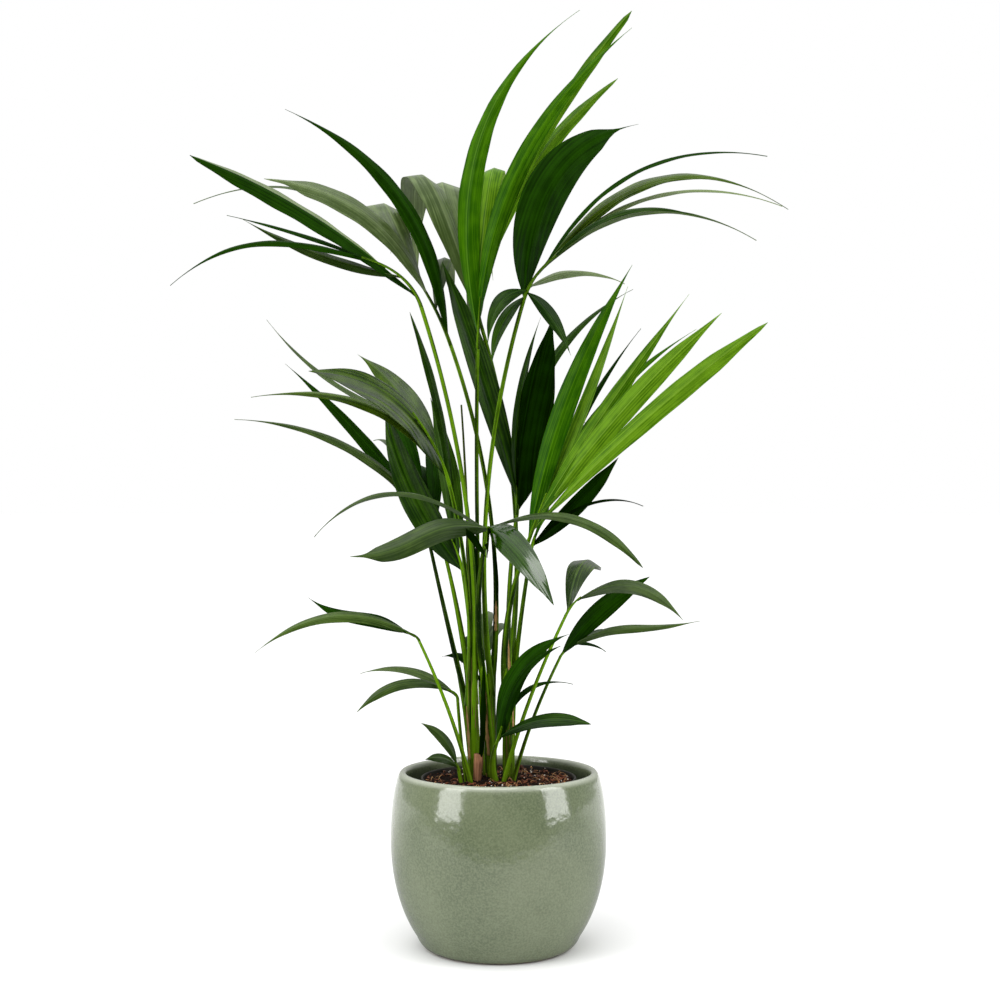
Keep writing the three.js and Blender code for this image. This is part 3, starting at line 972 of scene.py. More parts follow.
@dataclass
class PottingMix:
    """Dark crumbly mix with bark chips, coir and a little pale grit on top: perlite, whose bright
    specks also stand in for glints as painted highlights.

    crumbs holds the rate and the share of each size of crumb, and banked the radii between which
    the bank rises to the wall. clear keeps what is scattered off the wall, and clumps is how often
    it lies closer in a metre.
    """

    materials: Materials
    pot: NurseryPot
    edge: float = 0.203
    crown: float = 0.208
    lump: float = 0.0048
    crumbs: tuple[Pair, ...] = ((60, 0.5), (170, 0.5), (420, 0.35))
    bank: float = 0.004
    banked: Pair = (0.070, 0.092)
    gap: float = 0.0004
    lift: float = 0.0003
    clear: float = 0.004
    clumps: float = 38.0
    rings: int = 44
    steps: int = 220
    chips: int = 700
    fibres: int = 130
    grit: int = 80

    def height(self, radius: float) -> float:
        """Finds the smooth height of the surface at a radius."""
        return self.crown - (self.crown - self.edge) * (radius / self.pot.radius(self.edge)) ** 2

    def lumps(self, x: float, y: float) -> float:
        """Finds how far the crumbs stand off the smooth surface.

        Args:
            x: The place along X.
            y: The place along Y.

        Returns:
            The height over the smooth surface, with the bank near the wall.
        """
        place = Vector((x, y, 0.0))
        rough = sum(share * noise.noise(place * rate) for rate, share in self.crumbs)
        return self.bank * ease(*self.banked, math.hypot(x, y)) + self.lump * rough

    def build(self) -> None:
        """Makes the mix and what lies on it."""
        bottom = self.pot.bottom + self.pot.floor + self.lift
        inset = self.pot.wall + self.gap
        rim = self.pot.radius(self.edge) - inset
        outline = [(0.0, bottom), (self.pot.radius(bottom) - inset, bottom)]
        for ring in range(self.rings + 1):
            radius = rim * (1 - ring / self.rings)
            outline.append((radius, self.height(radius) if ring else self.edge))
        body = Body("potting_mix")
        body.turn(outline, self.steps)
        for vert in body.mesh.verts:
            if vert.co.z > self.edge - 0.001:
                vert.co.z += self.lumps(vert.co.x, vert.co.y)
        body.finish([self.materials.peat], "potting_mix", "soil")
        self.scatter("bark_chips", self.chips, self.chip, self.materials.bark)
        # The pale crumbs are perlite and partly painted glints.
        self.scatter("grit", self.grit, self.crumb, self.materials.grit_and_painted_glints)
        self.scatter("coir", self.fibres, self.fibre, self.materials.coir)

    def spot(self) -> Vector:
        """Picks a place on the surface, more often where the mix lies in clumps.

        Returns:
            The place.
        """
        while True:
            radius = (self.pot.rim - self.clear) * math.sqrt(random.random())
            x, y = oval(radius, radius, random.uniform(0, math.tau))
            if noise.noise(Vector((x, y, 0.3)) * self.clumps) > random.uniform(-0.5, 0.35):
                return Vector((x, y, self.height(radius) + self.lumps(x, y)))

    def scatter(self, name: str, count: int, make: Callable[[Body, Vector], None],
                material: bpy.types.Material) -> None:
        """Spreads many small bodies over the surface as one piece.

        Args:
            name: The piece's name.
            count: How many bodies it has.
            make: Adds one body at a place.
            material: What they are made of.
        """
        body = Body(name)
        for _ in range(count):
            make(body, self.spot())
        body.finish([material], "potting_mix")

    def lump_of(self, body: Body, place: Vector, size: Vector) -> None:
        """Adds one rough lump.

        Args:
            body: The piece that it joins.
            place: Its middle.
            size: Its half sizes.
        """
        part = bmesh.new()
        part.loops.layers.uv.new("UVMap")
        bmesh.ops.create_icosphere(part, subdivisions=1, radius=1.0)
        for vert in part.verts:
            vert.co *= random.uniform(0.7, 1.15)
        turn = Euler((random.uniform(-0.5, 0.5), random.uniform(-0.5, 0.5),
                      random.uniform(0, math.tau))).to_matrix().to_4x4()
        bmesh.ops.transform(part, verts=part.verts, matrix=Matrix.Translation(place) @ turn
                            @ Matrix.Diagonal((*size, 1.0)))
        body.take(part)

    def chip(self, body: Body, place: Vector) -> None:
        """Adds a flat bark chip.

        Args:
            body: The piece that it joins.
            place: The place on the mix.
        """
        length = random.uniform(0.0010, 0.0022) + 0.0032 * random.random() ** 4
        size = Vector((length, length * random.uniform(0.3, 0.7), length * 0.35))
        self.lump_of(body, place + UP * 0.0006, size)

    def crumb(self, body: Body, place: Vector) -> None:
        """Adds a pale crumb."""
        radius = random.uniform(0.0005, 0.0013)
        self.lump_of(body, place + UP * 0.0005, Vector((radius, radius, radius)))

    def fibre(self, body: Body, place: Vector) -> None:
        """Adds a thin curved fibre.

        Args:
            body: The piece that it joins.
            place: Where the fibre starts.
        """
        reach = Vector((*oval(1.0, 1.0, random.uniform(0, math.tau)), random.uniform(-0.1, 0.5)))
        reach *= random.uniform(0.004, 0.012)
        lift = UP * random.uniform(0.0005, 0.004)
        end = place + reach
        if math.hypot(end.x, end.y) > self.pot.rim - 0.003:
            end = place - reach * 0.3
        width = random.uniform(0.0002, 0.0005)
        body.limb(bowed(place, end, lift), UP.cross(reach),
                  lambda t, angle: oval(width, width, angle), sides=3, steps=4)


# ---------------------------------------------------------------- the plant's plan
@dataclass(frozen=True)
class Leaflet:
    """One leaflet, by where it grows and where it ends.

    at is a share of the rachis and tip is its end. arch is how far its middle rises over the
    straight line and sway how far it bows aside, towards -Y. turn is how many degrees its upper
    face is rolled from looking up towards -Y. crook is the share of the length where it bends
    most, full where it is widest, curl an S-bend, and a low swell makes the root broad. drip is
    how much of its width it loses before a thin, drawn-out end, and fold how steep its roof is.
    margin is the shade of the strip along one edge, where that differs: a painted sheen of the
    overhead light.
    """

    at: float
    tip: Point
    arch: float
    width: float
    turn: float
    sway: float = 0.0
    crook: float = 0.5
    full: float = 0.4
    curl: float = 0.0
    shade: Shade | None = None
    swell: float = 0.9
    drip: float = 0.25
    fold: float = 0.34
    margin: Shade | None = None


@dataclass(frozen=True)
class Seat:
    """A petiole's place round the top of a stem."""

    stem: str
    bearing: float


@dataclass(frozen=True)
class Rooted:
    """A petiole's place on the potting mix."""

    x: float
    y: float


@dataclass(frozen=True)
class Frond:
    """A frond: its petiole's place, tip, bow and radii, its rachis's end and its leaflets."""

    name: str
    base: Seat | Rooted
    tip: Point
    bow: Pair
    radii: Pair
    rachis: Point
    shade: Shade
    leaflets: tuple[Leaflet, ...]


@dataclass(frozen=True)
class Stem:
    """A short stem wrapped in old leaf sheaths, whose foot is sunk a little into the mix."""

    foot: Pair
    top: Point
    sunk: float = 0.003

    def root(self, ground: PottingMix) -> Vector:
        """Finds the stem's foot."""
        return Vector((*self.foot, ground.height(math.hypot(*self.foot)) - self.sunk))


STEMS: dict[str, Stem] = {
    "left": Stem((-0.029, 0.004), (-0.034, 0.005, 0.300)),
    "middle": Stem((-0.009, 0.016), (-0.013, 0.014, 0.312)),
    "right": Stem((0.013, 0.012), (0.011, 0.014, 0.304)),
}

FRONDS: tuple[Frond, ...] = (
    Frond("high_left", Seat("middle", 62),
          tip=(-0.061, 0.03, 0.755), bow=(0.026, 0.004), radii=(0.0029, 0.0025),
          rachis=(-0.15, 0.112, 0.9), shade=Shade.PAINTED_SHEEN, leaflets=(
        Leaflet(0.06, (-0.26, -0.06, 1.034), 0.057, 0.025, 78, shade=Shade.DEEP),
        Leaflet(0.42, (-0.303, 0.06, 0.973), 0.038, 0.031, 58, full=0.58, drip=0.6),
        Leaflet(0.68, (-0.411, 0.15, 0.957), 0.06, 0.012, 24, shade=Shade.SAGE),
        Leaflet(0.5, (-0.138, 0.236, 0.891), 0.092, 0.050, -6, sway=0.04, full=0.5),
        Leaflet(0.82, (-0.152, 0.25, 0.905), 0.04, 0.032, 6),
        Leaflet(0.3, (-0.062, 0.25, 0.811), 0.076, 0.026, 0, shade=Shade.SAGE),
    )),
    Frond("upper_left", Seat("left", 290),
          tip=(-0.095, -0.04, 0.795), bow=(0.024, -0.006), radii=(0.0029, 0.0025),
          rachis=(-0.163, -0.1, 0.848), shade=Shade.DEEP, leaflets=(
        # Its upper edge has a strip of painted sheen.
        Leaflet(0.16, (-0.359, -0.15, 0.959), 0.015, 0.032, 54, full=0.6, margin=Shade.PAINTED_SHEEN),
        Leaflet(0.72, (-0.386, -0.13, 0.81), 0.04, 0.011, 52, curl=-0.004),
        Leaflet(0.5, (-0.309, -0.078, 0.897), -0.009, 0.015, 68, shade=Shade.SAGE),
        Leaflet(0.9, (-0.337, -0.024, 0.911), 0.004, 0.007, 50),
    )),
    Frond("crown", Seat("middle", 190),
          tip=(-0.026, -0.005, 0.747), bow=(-0.004, 0.004), radii=(0.003, 0.0026),
          rachis=(-0.023, -0.008, 0.812), shade=Shade.MID, leaflets=(
        Leaflet(0.3, (0.099, -0.06, 1.155), 0.078, 0.033, 86, crook=0.6, full=0.32),
        Leaflet(0.6, (0.168, 0.008, 1.153), 0.044, 0.025, 80, full=0.4),
    )),
    Frond("high_back", Seat("right", 120),
          tip=(-0.021, 0.045, 0.777), bow=(0.028, 0.008), radii=(0.003, 0.0025),
          rachis=(-0.027, 0.078, 0.838), shade=Shade.FRESH, leaflets=(
        Leaflet(0.85, (0.172, 0.06, 1.19), 0.022, 0.017, 78, full=0.72),
        Leaflet(0.6, (0.157, 0.1, 1.113), 0.032, 0.021, 62, full=0.58),
        Leaflet(0.3, (-0.112, 0.215, 0.88), 0.15, 0.046, -8, sway=0.063, full=0.5,
                shade=Shade.PAINTED_SHEEN),
        Leaflet(0.5, (-0.043, 0.24, 0.908), 0.128, 0.052, 0, sway=0.044, full=0.5,
                shade=Shade.PAINTED_SHEEN),
        Leaflet(0.75, (0.0, 0.23, 0.92), 0.135, 0.028, 0, sway=0.018, full=0.5),
        Leaflet(0.95, (-0.008, 0.254, 0.868), 0.06, 0.022, 0, shade=Shade.PAINTED_SHEEN),
        Leaflet(0.2, (-0.04, 0.214, 0.766), 0.06, 0.022, 0, shade=Shade.SAGE),
    )),
    Frond("upper_right", Seat("middle", 325),
          tip=(0.03, -0.025, 0.802), bow=(-0.026, -0.006), radii=(0.0031, 0.0026),
          rachis=(0.069, -0.076, 0.853), shade=Shade.DEEP, leaflets=(
        Leaflet(0.1, (0.176, 0.006, 1.031), 0.051, 0.055, 84, crook=0.6, full=0.43, drip=0.85),
        Leaflet(0.8, (0.316, -0.13, 0.962), 0.054, 0.013, 36),
        Leaflet(0.7, (0.348, -0.088, 0.907), 0.073, 0.022, 50, crook=0.55, full=0.3,
                shade=Shade.SATIN),
        Leaflet(0.9, (0.35, -0.036, 0.92), 0.048, 0.012, 32, shade=Shade.PAINTED_SHEEN),
        Leaflet(0.97, (0.244, -0.112, 0.892), 0.032, 0.01, 50, shade=Shade.DUSK),
        Leaflet(0.55, (0.324, 0.002, 0.884), 0.057, 0.012, 40, shade=Shade.SAGE),
        Leaflet(0.3, (0.163, 0.06, 0.837), 0.017, 0.015, 40, shade=Shade.PAINTED_SHEEN),
        Leaflet(0.2, (0.087, -0.084, 0.732), 0.008, 0.017, 70, shade=Shade.DUSK),
        Leaflet(0.24, (-0.013, -0.08, 0.743), 0.022, 0.018, 66, shade=Shade.DUSK),
        Leaflet(0.12, (-0.008, -0.046, 0.722), 0.012, 0.015, 74, shade=Shade.DUSK),
    )),
    Frond("heart", Seat("right", 325),
          tip=(0.023, 0.014, 0.539), bow=(-0.007, 0.0), radii=(0.003, 0.0026),
          rachis=(0.02, 0.02, 0.583), shade=Shade.DEEP, leaflets=(
        Leaflet(0.15, (0.069, -0.02, 0.79), 0.008, 0.059, 86, full=0.44, shade=Shade.PAINTED_SHADE),
        Leaflet(0.5, (-0.072, 0.036, 0.862), 0.006, 0.031, 80, full=0.5, shade=Shade.DUSK),
        Leaflet(0.8, (0.054, 0.042, 0.792), 0.014, 0.012, 66, shade=Shade.DUSK),
        Leaflet(0.95, (0.062, 0.132, 0.732), 0.014, 0.026, 10, shade=Shade.SAGE),
        Leaflet(0.9, (0.176, 0.09, 0.834), 0.044, 0.014, 50, shade=Shade.DUSK),
    )),
    Frond("middle_right", Seat("right", 260),
          tip=(0.035, -0.032, 0.502), bow=(-0.012, -0.004), radii=(0.0031, 0.0026),
          rachis=(0.058, -0.072, 0.566), shade=Shade.FRESH, leaflets=(
        Leaflet(0.3, (0.32, -0.11, 0.769), 0.01, 0.026, 84, full=0.62, swell=1.15),
        Leaflet(0.45, (0.272, -0.06, 0.786), 0.011, 0.028, 80, full=0.52, swell=1.1),
        Leaflet(0.6, (0.237, -0.02, 0.814), 0.004, 0.022, 70, full=0.38),
        Leaflet(0.1, (0.165, -0.036, 0.848), 0.017, 0.028, 82, full=0.42, shade=Shade.MID),
        Leaflet(0.2, (0.164, 0.022, 0.829), -0.004, 0.016, 70),
    )),
    Frond("shaded_right", Seat("right", 20),
          tip=(0.041, 0.042, 0.49), bow=(-0.002, 0.002), radii=(0.003, 0.0025),
          rachis=(0.066, 0.084, 0.54), shade=Shade.PAINTED_SHADE, leaflets=(
        Leaflet(0.3, (0.256, 0.064, 0.779), 0.034, 0.015, 62, shade=Shade.MID),
        Leaflet(0.5, (0.186, 0.084, 0.782), 0.016, 0.012, 40, shade=Shade.DEEP),
        Leaflet(0.15, (0.158, 0.104, 0.614), -0.005, 0.023, 70, full=0.5),
        Leaflet(0.2, (0.186, 0.05, 0.55), 0.026, 0.01, 24, crook=0.62),
        Leaflet(0.8, (0.132, 0.236, 0.66), 0.06, 0.022, 0, shade=Shade.SAGE),
        Leaflet(0.95, (0.06, 0.262, 0.56), 0.062, 0.02, 0, shade=Shade.SAGE),
    )),
    Frond("middle_left", Seat("left", 205),
          tip=(-0.06, -0.03, 0.574), bow=(0.012, -0.004), radii=(0.003, 0.0026),
          rachis=(-0.104, -0.07, 0.664), shade=Shade.SAGE, leaflets=(
        Leaflet(0.15, (-0.221, -0.15, 0.708), 0.038, 0.042, 66, full=0.48, shade=Shade.SATIN),
        Leaflet(0.1, (-0.294, -0.11, 0.68), 0.046, 0.018, 50, crook=0.44, shade=Shade.SATIN),
        Leaflet(0.9, (-0.296, 0.034, 0.788), -0.02, 0.008, 40),
        Leaflet(0.55, (-0.184, 0.084, 0.748), 0.012, 0.032, 52, shade=Shade.SATIN),
    )),
    Frond("shaded_left", Seat("left", 147),
          tip=(-0.094, 0.07, 0.522), bow=(-0.001, 0.0), radii=(0.0029, 0.0023),
          rachis=(-0.111, 0.1, 0.575), shade=Shade.DEEP, leaflets=(
        Leaflet(0.25, (-0.282, 0.11, 0.738), 0.009, 0.018, 60),
        Leaflet(0.7, (-0.158, 0.16, 0.7), 0.008, 0.032, 56, full=0.5),
        Leaflet(0.85, (-0.173, 0.206, 0.64), 0.026, 0.022, 10, shade=Shade.SAGE),
    )),
    Frond("back_left", Seat("left", 90),
          tip=(-0.074, 0.062, 0.506), bow=(0.004, 0.0), radii=(0.0029, 0.0023),
          rachis=(-0.086, 0.092, 0.545), shade=Shade.DEEP, leaflets=(
        Leaflet(0.2, (-0.338, 0.04, 0.661), 0.04, 0.015, 52, shade=Shade.SAGE),
        Leaflet(0.6, (-0.098, 0.232, 0.64), 0.04, 0.022, 0),
        Leaflet(0.9, (-0.13, 0.25, 0.56), 0.054, 0.022, 0),
    )),
    Frond("inner_left", Seat("left", 32),
          tip=(-0.045, 0.032, 0.462), bow=(0.002, 0.003), radii=(0.0029, 0.0024),
          rachis=(-0.062, 0.044, 0.512), shade=Shade.DUSK, leaflets=(
        Leaflet(0.15, (-0.148, 0.048, 0.69), -0.016, 0.04, 72, full=0.4),
        Leaflet(0.55, (-0.088, 0.056, 0.69), 0.006, 0.027, 76, full=0.45),
        Leaflet(0.8, (-0.112, 0.012, 0.795), 0.015, 0.013, 80, full=0.6),
        Leaflet(0.95, (-0.06, 0.224, 0.54), 0.076, 0.022, 0, shade=Shade.SAGE),
    )),
    Frond("front", Seat("middle", 258),
          tip=(-0.018, -0.044, 0.499), bow=(-0.009, -0.007), radii=(0.0031, 0.0026),
          rachis=(-0.012, -0.094, 0.526), shade=Shade.SAGE, leaflets=(
        Leaflet(0.55, (-0.218, -0.12, 0.514), 0.05, 0.012, 32, crook=0.58),
        Leaflet(0.75, (-0.173, -0.15, 0.492), 0.005, 0.030, 66, full=0.44, curl=0.007, swell=0.6,
                drip=0.7),
        Leaflet(0.9, (0.063, -0.19, 0.438), 0.018, 0.034, 64, sway=0.008, full=0.34, swell=0.4,
                fold=0.06, shade=Shade.WAXED),
        Leaflet(0.7, (0.17, -0.13, 0.478), 0.037, 0.014, 54, full=0.62),
        Leaflet(0.08, (-0.012, -0.088, 0.497), 0.001, 0.008, 80, shade=Shade.PAINTED_SHADE),
    )),
    Frond("low_right", Rooted(0.006, -0.02),
          tip=(0.082, -0.042, 0.415), bow=(-0.006, 0.0), radii=(0.004, 0.002),
          rachis=(0.1, -0.06, 0.44), shade=Shade.SAGE, leaflets=(
        Leaflet(0.2, (0.132, 0.09, 0.466), 0.036, 0.034, 12, full=0.62, shade=Shade.SATIN),
        Leaflet(0.8, (0.218, -0.12, 0.416), 0.029, 0.019, 58, full=0.45),
    )),
    Frond("lower_right", Rooted(0.018, -0.014),
          tip=(0.077, 0.008, 0.359), bow=(-0.005, -0.002), radii=(0.0036, 0.0019),
          rachis=(0.1, 0.024, 0.377), shade=Shade.DEEP, leaflets=(
        Leaflet(0.15, (0.191, 0.014, 0.461), 0.009, 0.026, 76, full=0.5),
        Leaflet(0.6, (0.249, -0.028, 0.408), 0.008, 0.013, 54, curl=0.004, shade=Shade.SAGE),
        Leaflet(0.9, (0.139, 0.07, 0.361), 0.005, 0.008, 40),
        Leaflet(0.95, (0.14, 0.15, 0.384), 0.004, 0.015, 0),
    )),
    Frond("front_right", Rooted(-0.004, -0.016),
          tip=(-0.003, -0.03, 0.255), bow=(-0.004, -0.001), radii=(0.0064, 0.0024),
          rachis=(0.004, -0.044, 0.28), shade=Shade.DEEP, leaflets=(
        Leaflet(0.1, (0.084, -0.092, 0.397), 0.03, 0.031, 84, full=0.36, swell=0.7),
        Leaflet(0.95, (0.074, -0.104, 0.384), 0.02, 0.012, 70, full=0.5),
        Leaflet(0.35, (0.111, -0.092, 0.289), 0.014, 0.018, 64, full=0.55, shade=Shade.DUSK),
        Leaflet(0.7, (0.094, 0.006, 0.326), 0.027, 0.008, 40),
    )),
    Frond("low_left", Rooted(-0.034, -0.018),
          tip=(-0.098, -0.032, 0.384), bow=(0.005, 0.0), radii=(0.004, 0.0019),
          rachis=(-0.114, -0.038, 0.395), shade=Shade.SAGE, leaflets=(
        Leaflet(0.4, (-0.295, -0.07, 0.373), 0.034, 0.015, 58),
        Leaflet(0.9, (-0.237, -0.02, 0.437), -0.003, 0.018, 64, curl=0.004, shade=Shade.DEEP),
        Leaflet(0.7, (-0.186, 0.066, 0.404), 0.006, 0.013, 10),
    )),
    Frond("lower_left", Rooted(-0.04, -0.01),
          tip=(-0.051, -0.008, 0.308), bow=(-0.001, 0.0), radii=(0.0032, 0.0022),
          rachis=(-0.063, -0.02, 0.322), shade=Shade.SAGE, leaflets=(
        Leaflet(0.3, (-0.176, 0.03, 0.337), 0.018, 0.012, 50),
        Leaflet(0.8, (-0.173, -0.06, 0.299), 0.022, 0.014, 58, full=0.5),
        Leaflet(0.6, (-0.12, 0.12, 0.318), 0.006, 0.012, 0),
    )),
    Frond("back_low", Rooted(-0.018, 0.036),
          tip=(-0.024, 0.052, 0.318), bow=(0.0, 0.003), radii=(0.004, 0.0022),
          rachis=(-0.02, 0.076, 0.352), shade=Shade.DEEP, leaflets=(
        Leaflet(0.2, (-0.072, 0.024, 0.359), 0.014, 0.014, 70),
        Leaflet(0.5, (-0.052, 0.196, 0.33), 0.044, 0.018, 0),
        Leaflet(0.7, (0.026, 0.19, 0.356), 0.044, 0.02, 0, shade=Shade.SAGE),
        Leaflet(0.95, (-0.01, 0.214, 0.392), 0.034, 0.018, 0, shade=Shade.SAGE),
    )),
    Frond("foot_left", Rooted(-0.046, -0.02),
          tip=(-0.049, -0.022, 0.222), bow=(0.0, 0.0), radii=(0.0034, 0.0024),
          rachis=(-0.053, -0.024, 0.232), shade=Shade.SAGE, leaflets=(
        Leaflet(0.8, (-0.096, -0.022, 0.281), 0.008, 0.013, 72, full=0.5),
        Leaflet(0.4, (-0.09, -0.044, 0.239), 0.007, 0.012, 70, full=0.5),
    )),
)


# ---------------------------------------------------------------- the plant
@dataclass
class Blade:
    """A leaflet's shape, made from its plan and the place where it grows.

    root_fold is how steep the roof is at the root, and tip_fold how much steeper it gets at the
    tip. crease rounds the fold off, by a square and the depth that it takes back. rib is how much
    thicker the midrib is and rib_width its half width, as a share of half the blade. ripple is
    how far the edges rise and fall, ripples how fast, in radians a metre, and full_ripple half
    the width from which they do so in full. A strip of painted sheen in another shade starts at
    the share margin of half the blade. dripping is where the plan's drip is lost.
    """

    plan: Leaflet
    root: Vector
    root_width: float = 0.0032
    least_width: float = 0.0004
    dripping: Pair = (0.78, 0.93)
    root_fold: float = 0.8
    tip_fold: float = 0.15
    crease: Pair = (0.008, 0.09)
    thickness: float = 0.00042
    rib: float = 1.6
    rib_width: float = 0.09
    ripple: float = 0.0006
    ripples: float = 100.0
    full_ripple: float = 0.010
    margin: float = 0.42
    sides: int = 20
    steps: int = 34
    phase: float = field(default_factory=lambda: random.uniform(0, math.tau))

    def __post_init__(self) -> None:
        """Works out the bend and the directions that the sections keep."""
        plan = self.plan
        chord = Vector(plan.tip) - self.root
        along = chord.normalized()
        self.side = Vector((along.y, -along.x, 0.0)).normalized()
        if self.side.y > 0:
            self.side.negate()
        self.rise = (UP - along * along.z).normalized()
        control = (self.root + chord * plan.crook + self.rise * 2 * plan.arch
                   + self.side * 2 * plan.sway)
        self.curve = Bend(self.root, control, Vector(plan.tip))
        self.length = self.curve.length()

    def ring(self, t: float) -> Ring:
        """Places a section.

        Args:
            t: The share of the way along.

        Returns:
            The ring, rolled to the side that the leaflet shows.
        """
        tangent = self.curve.tangent(t)
        flat = (self.side - tangent * self.side.dot(tangent)).normalized()
        up = flat.cross(tangent)
        if up.dot(self.rise) < 0:
            up.negate()
        roll = math.radians(self.plan.turn)
        face = up * math.cos(roll) + flat * math.sin(roll)
        centre = self.curve.point(t) + self.rise * (self.plan.curl * math.sin(math.tau * t))
        return Ring(centre, tangent.cross(face), face)

    def width(self, t: float) -> float:
        """Finds the width.

        Args:
            t: The share of the way along.

        Returns:
            The width, whose outline peaks where the plan says.
        """
        full, power = self.plan.full, self.plan.swell
        fall = power * (1 - full) / full
        peak = full ** power * (1 - full) ** fall
        outline = self.plan.width * t ** power * (1 - t) ** fall / peak
        outline *= 1 - self.plan.drip * ease(*self.dripping, t)
        return max(outline, self.root_width * (1 - t) ** 2, self.least_width)

    def section(self, t: float, angle: float) -> Pair:
        """Finds a wall point: a shallow roof with a raised midrib and rippled edges.

        Args:
            t: The share of the way along.
            angle: The angle round the section.

        Returns:
            The offsets across and out.
        """
        fold = mix(self.root_fold, self.plan.fold, ease(0.0, 0.35, t))
        fold += self.tip_fold * ease(0.7, 1.0, t)
        half = self.width(t) / 2
        u = math.cos(angle)
        drop = fold * (math.sqrt(u * u + self.crease[0]) - self.crease[1]) * half
        wave = self.ripple * u * abs(u) * math.sin(self.phase + self.ripples * t * self.length)
        wave *= ease(0.0, 0.3, t) * ease(0.0, 0.3, 1 - t) * min(1.0, half / self.full_ripple)
        rib = 1 + self.rib * math.exp(-(u / self.rib_width) ** 2)
        thick = self.thickness * rib * mix(1.0, 0.5, t)
        return half * u, -drop + wave + thick * math.sin(angle)

    def add_to(self, body: Body, slots: list[bpy.types.Material], materials: Materials,
               shade: Shade) -> None:
        """Adds the leaflet to a frond.

        Args:
            body: The frond's mesh.
            slots: The frond's materials so far, added to where the shade is new.
            materials: All the materials.
            shade: The leaflet's shade.
        """
        def slot(angle: float) -> int:
            """Picks the slot of a strip of the wall.

            Args:
                angle: The strip's angle round the section.

            Returns:
                The material slot.
            """
            side = Side.UPPER if math.sin(angle) > 0 else Side.UNDER
            # A strip along one edge takes the plan's other shade, a painted sheen.
            own = self.plan.margin if math.cos(angle) > self.margin else None
            material = materials.leaves[own or shade, side]
            if material not in slots:
                slots.append(material)
            return slots.index(material)

        body.sweep(self.ring, self.section, self.length, self.sides, self.steps, slot,
                   self.plan.width)


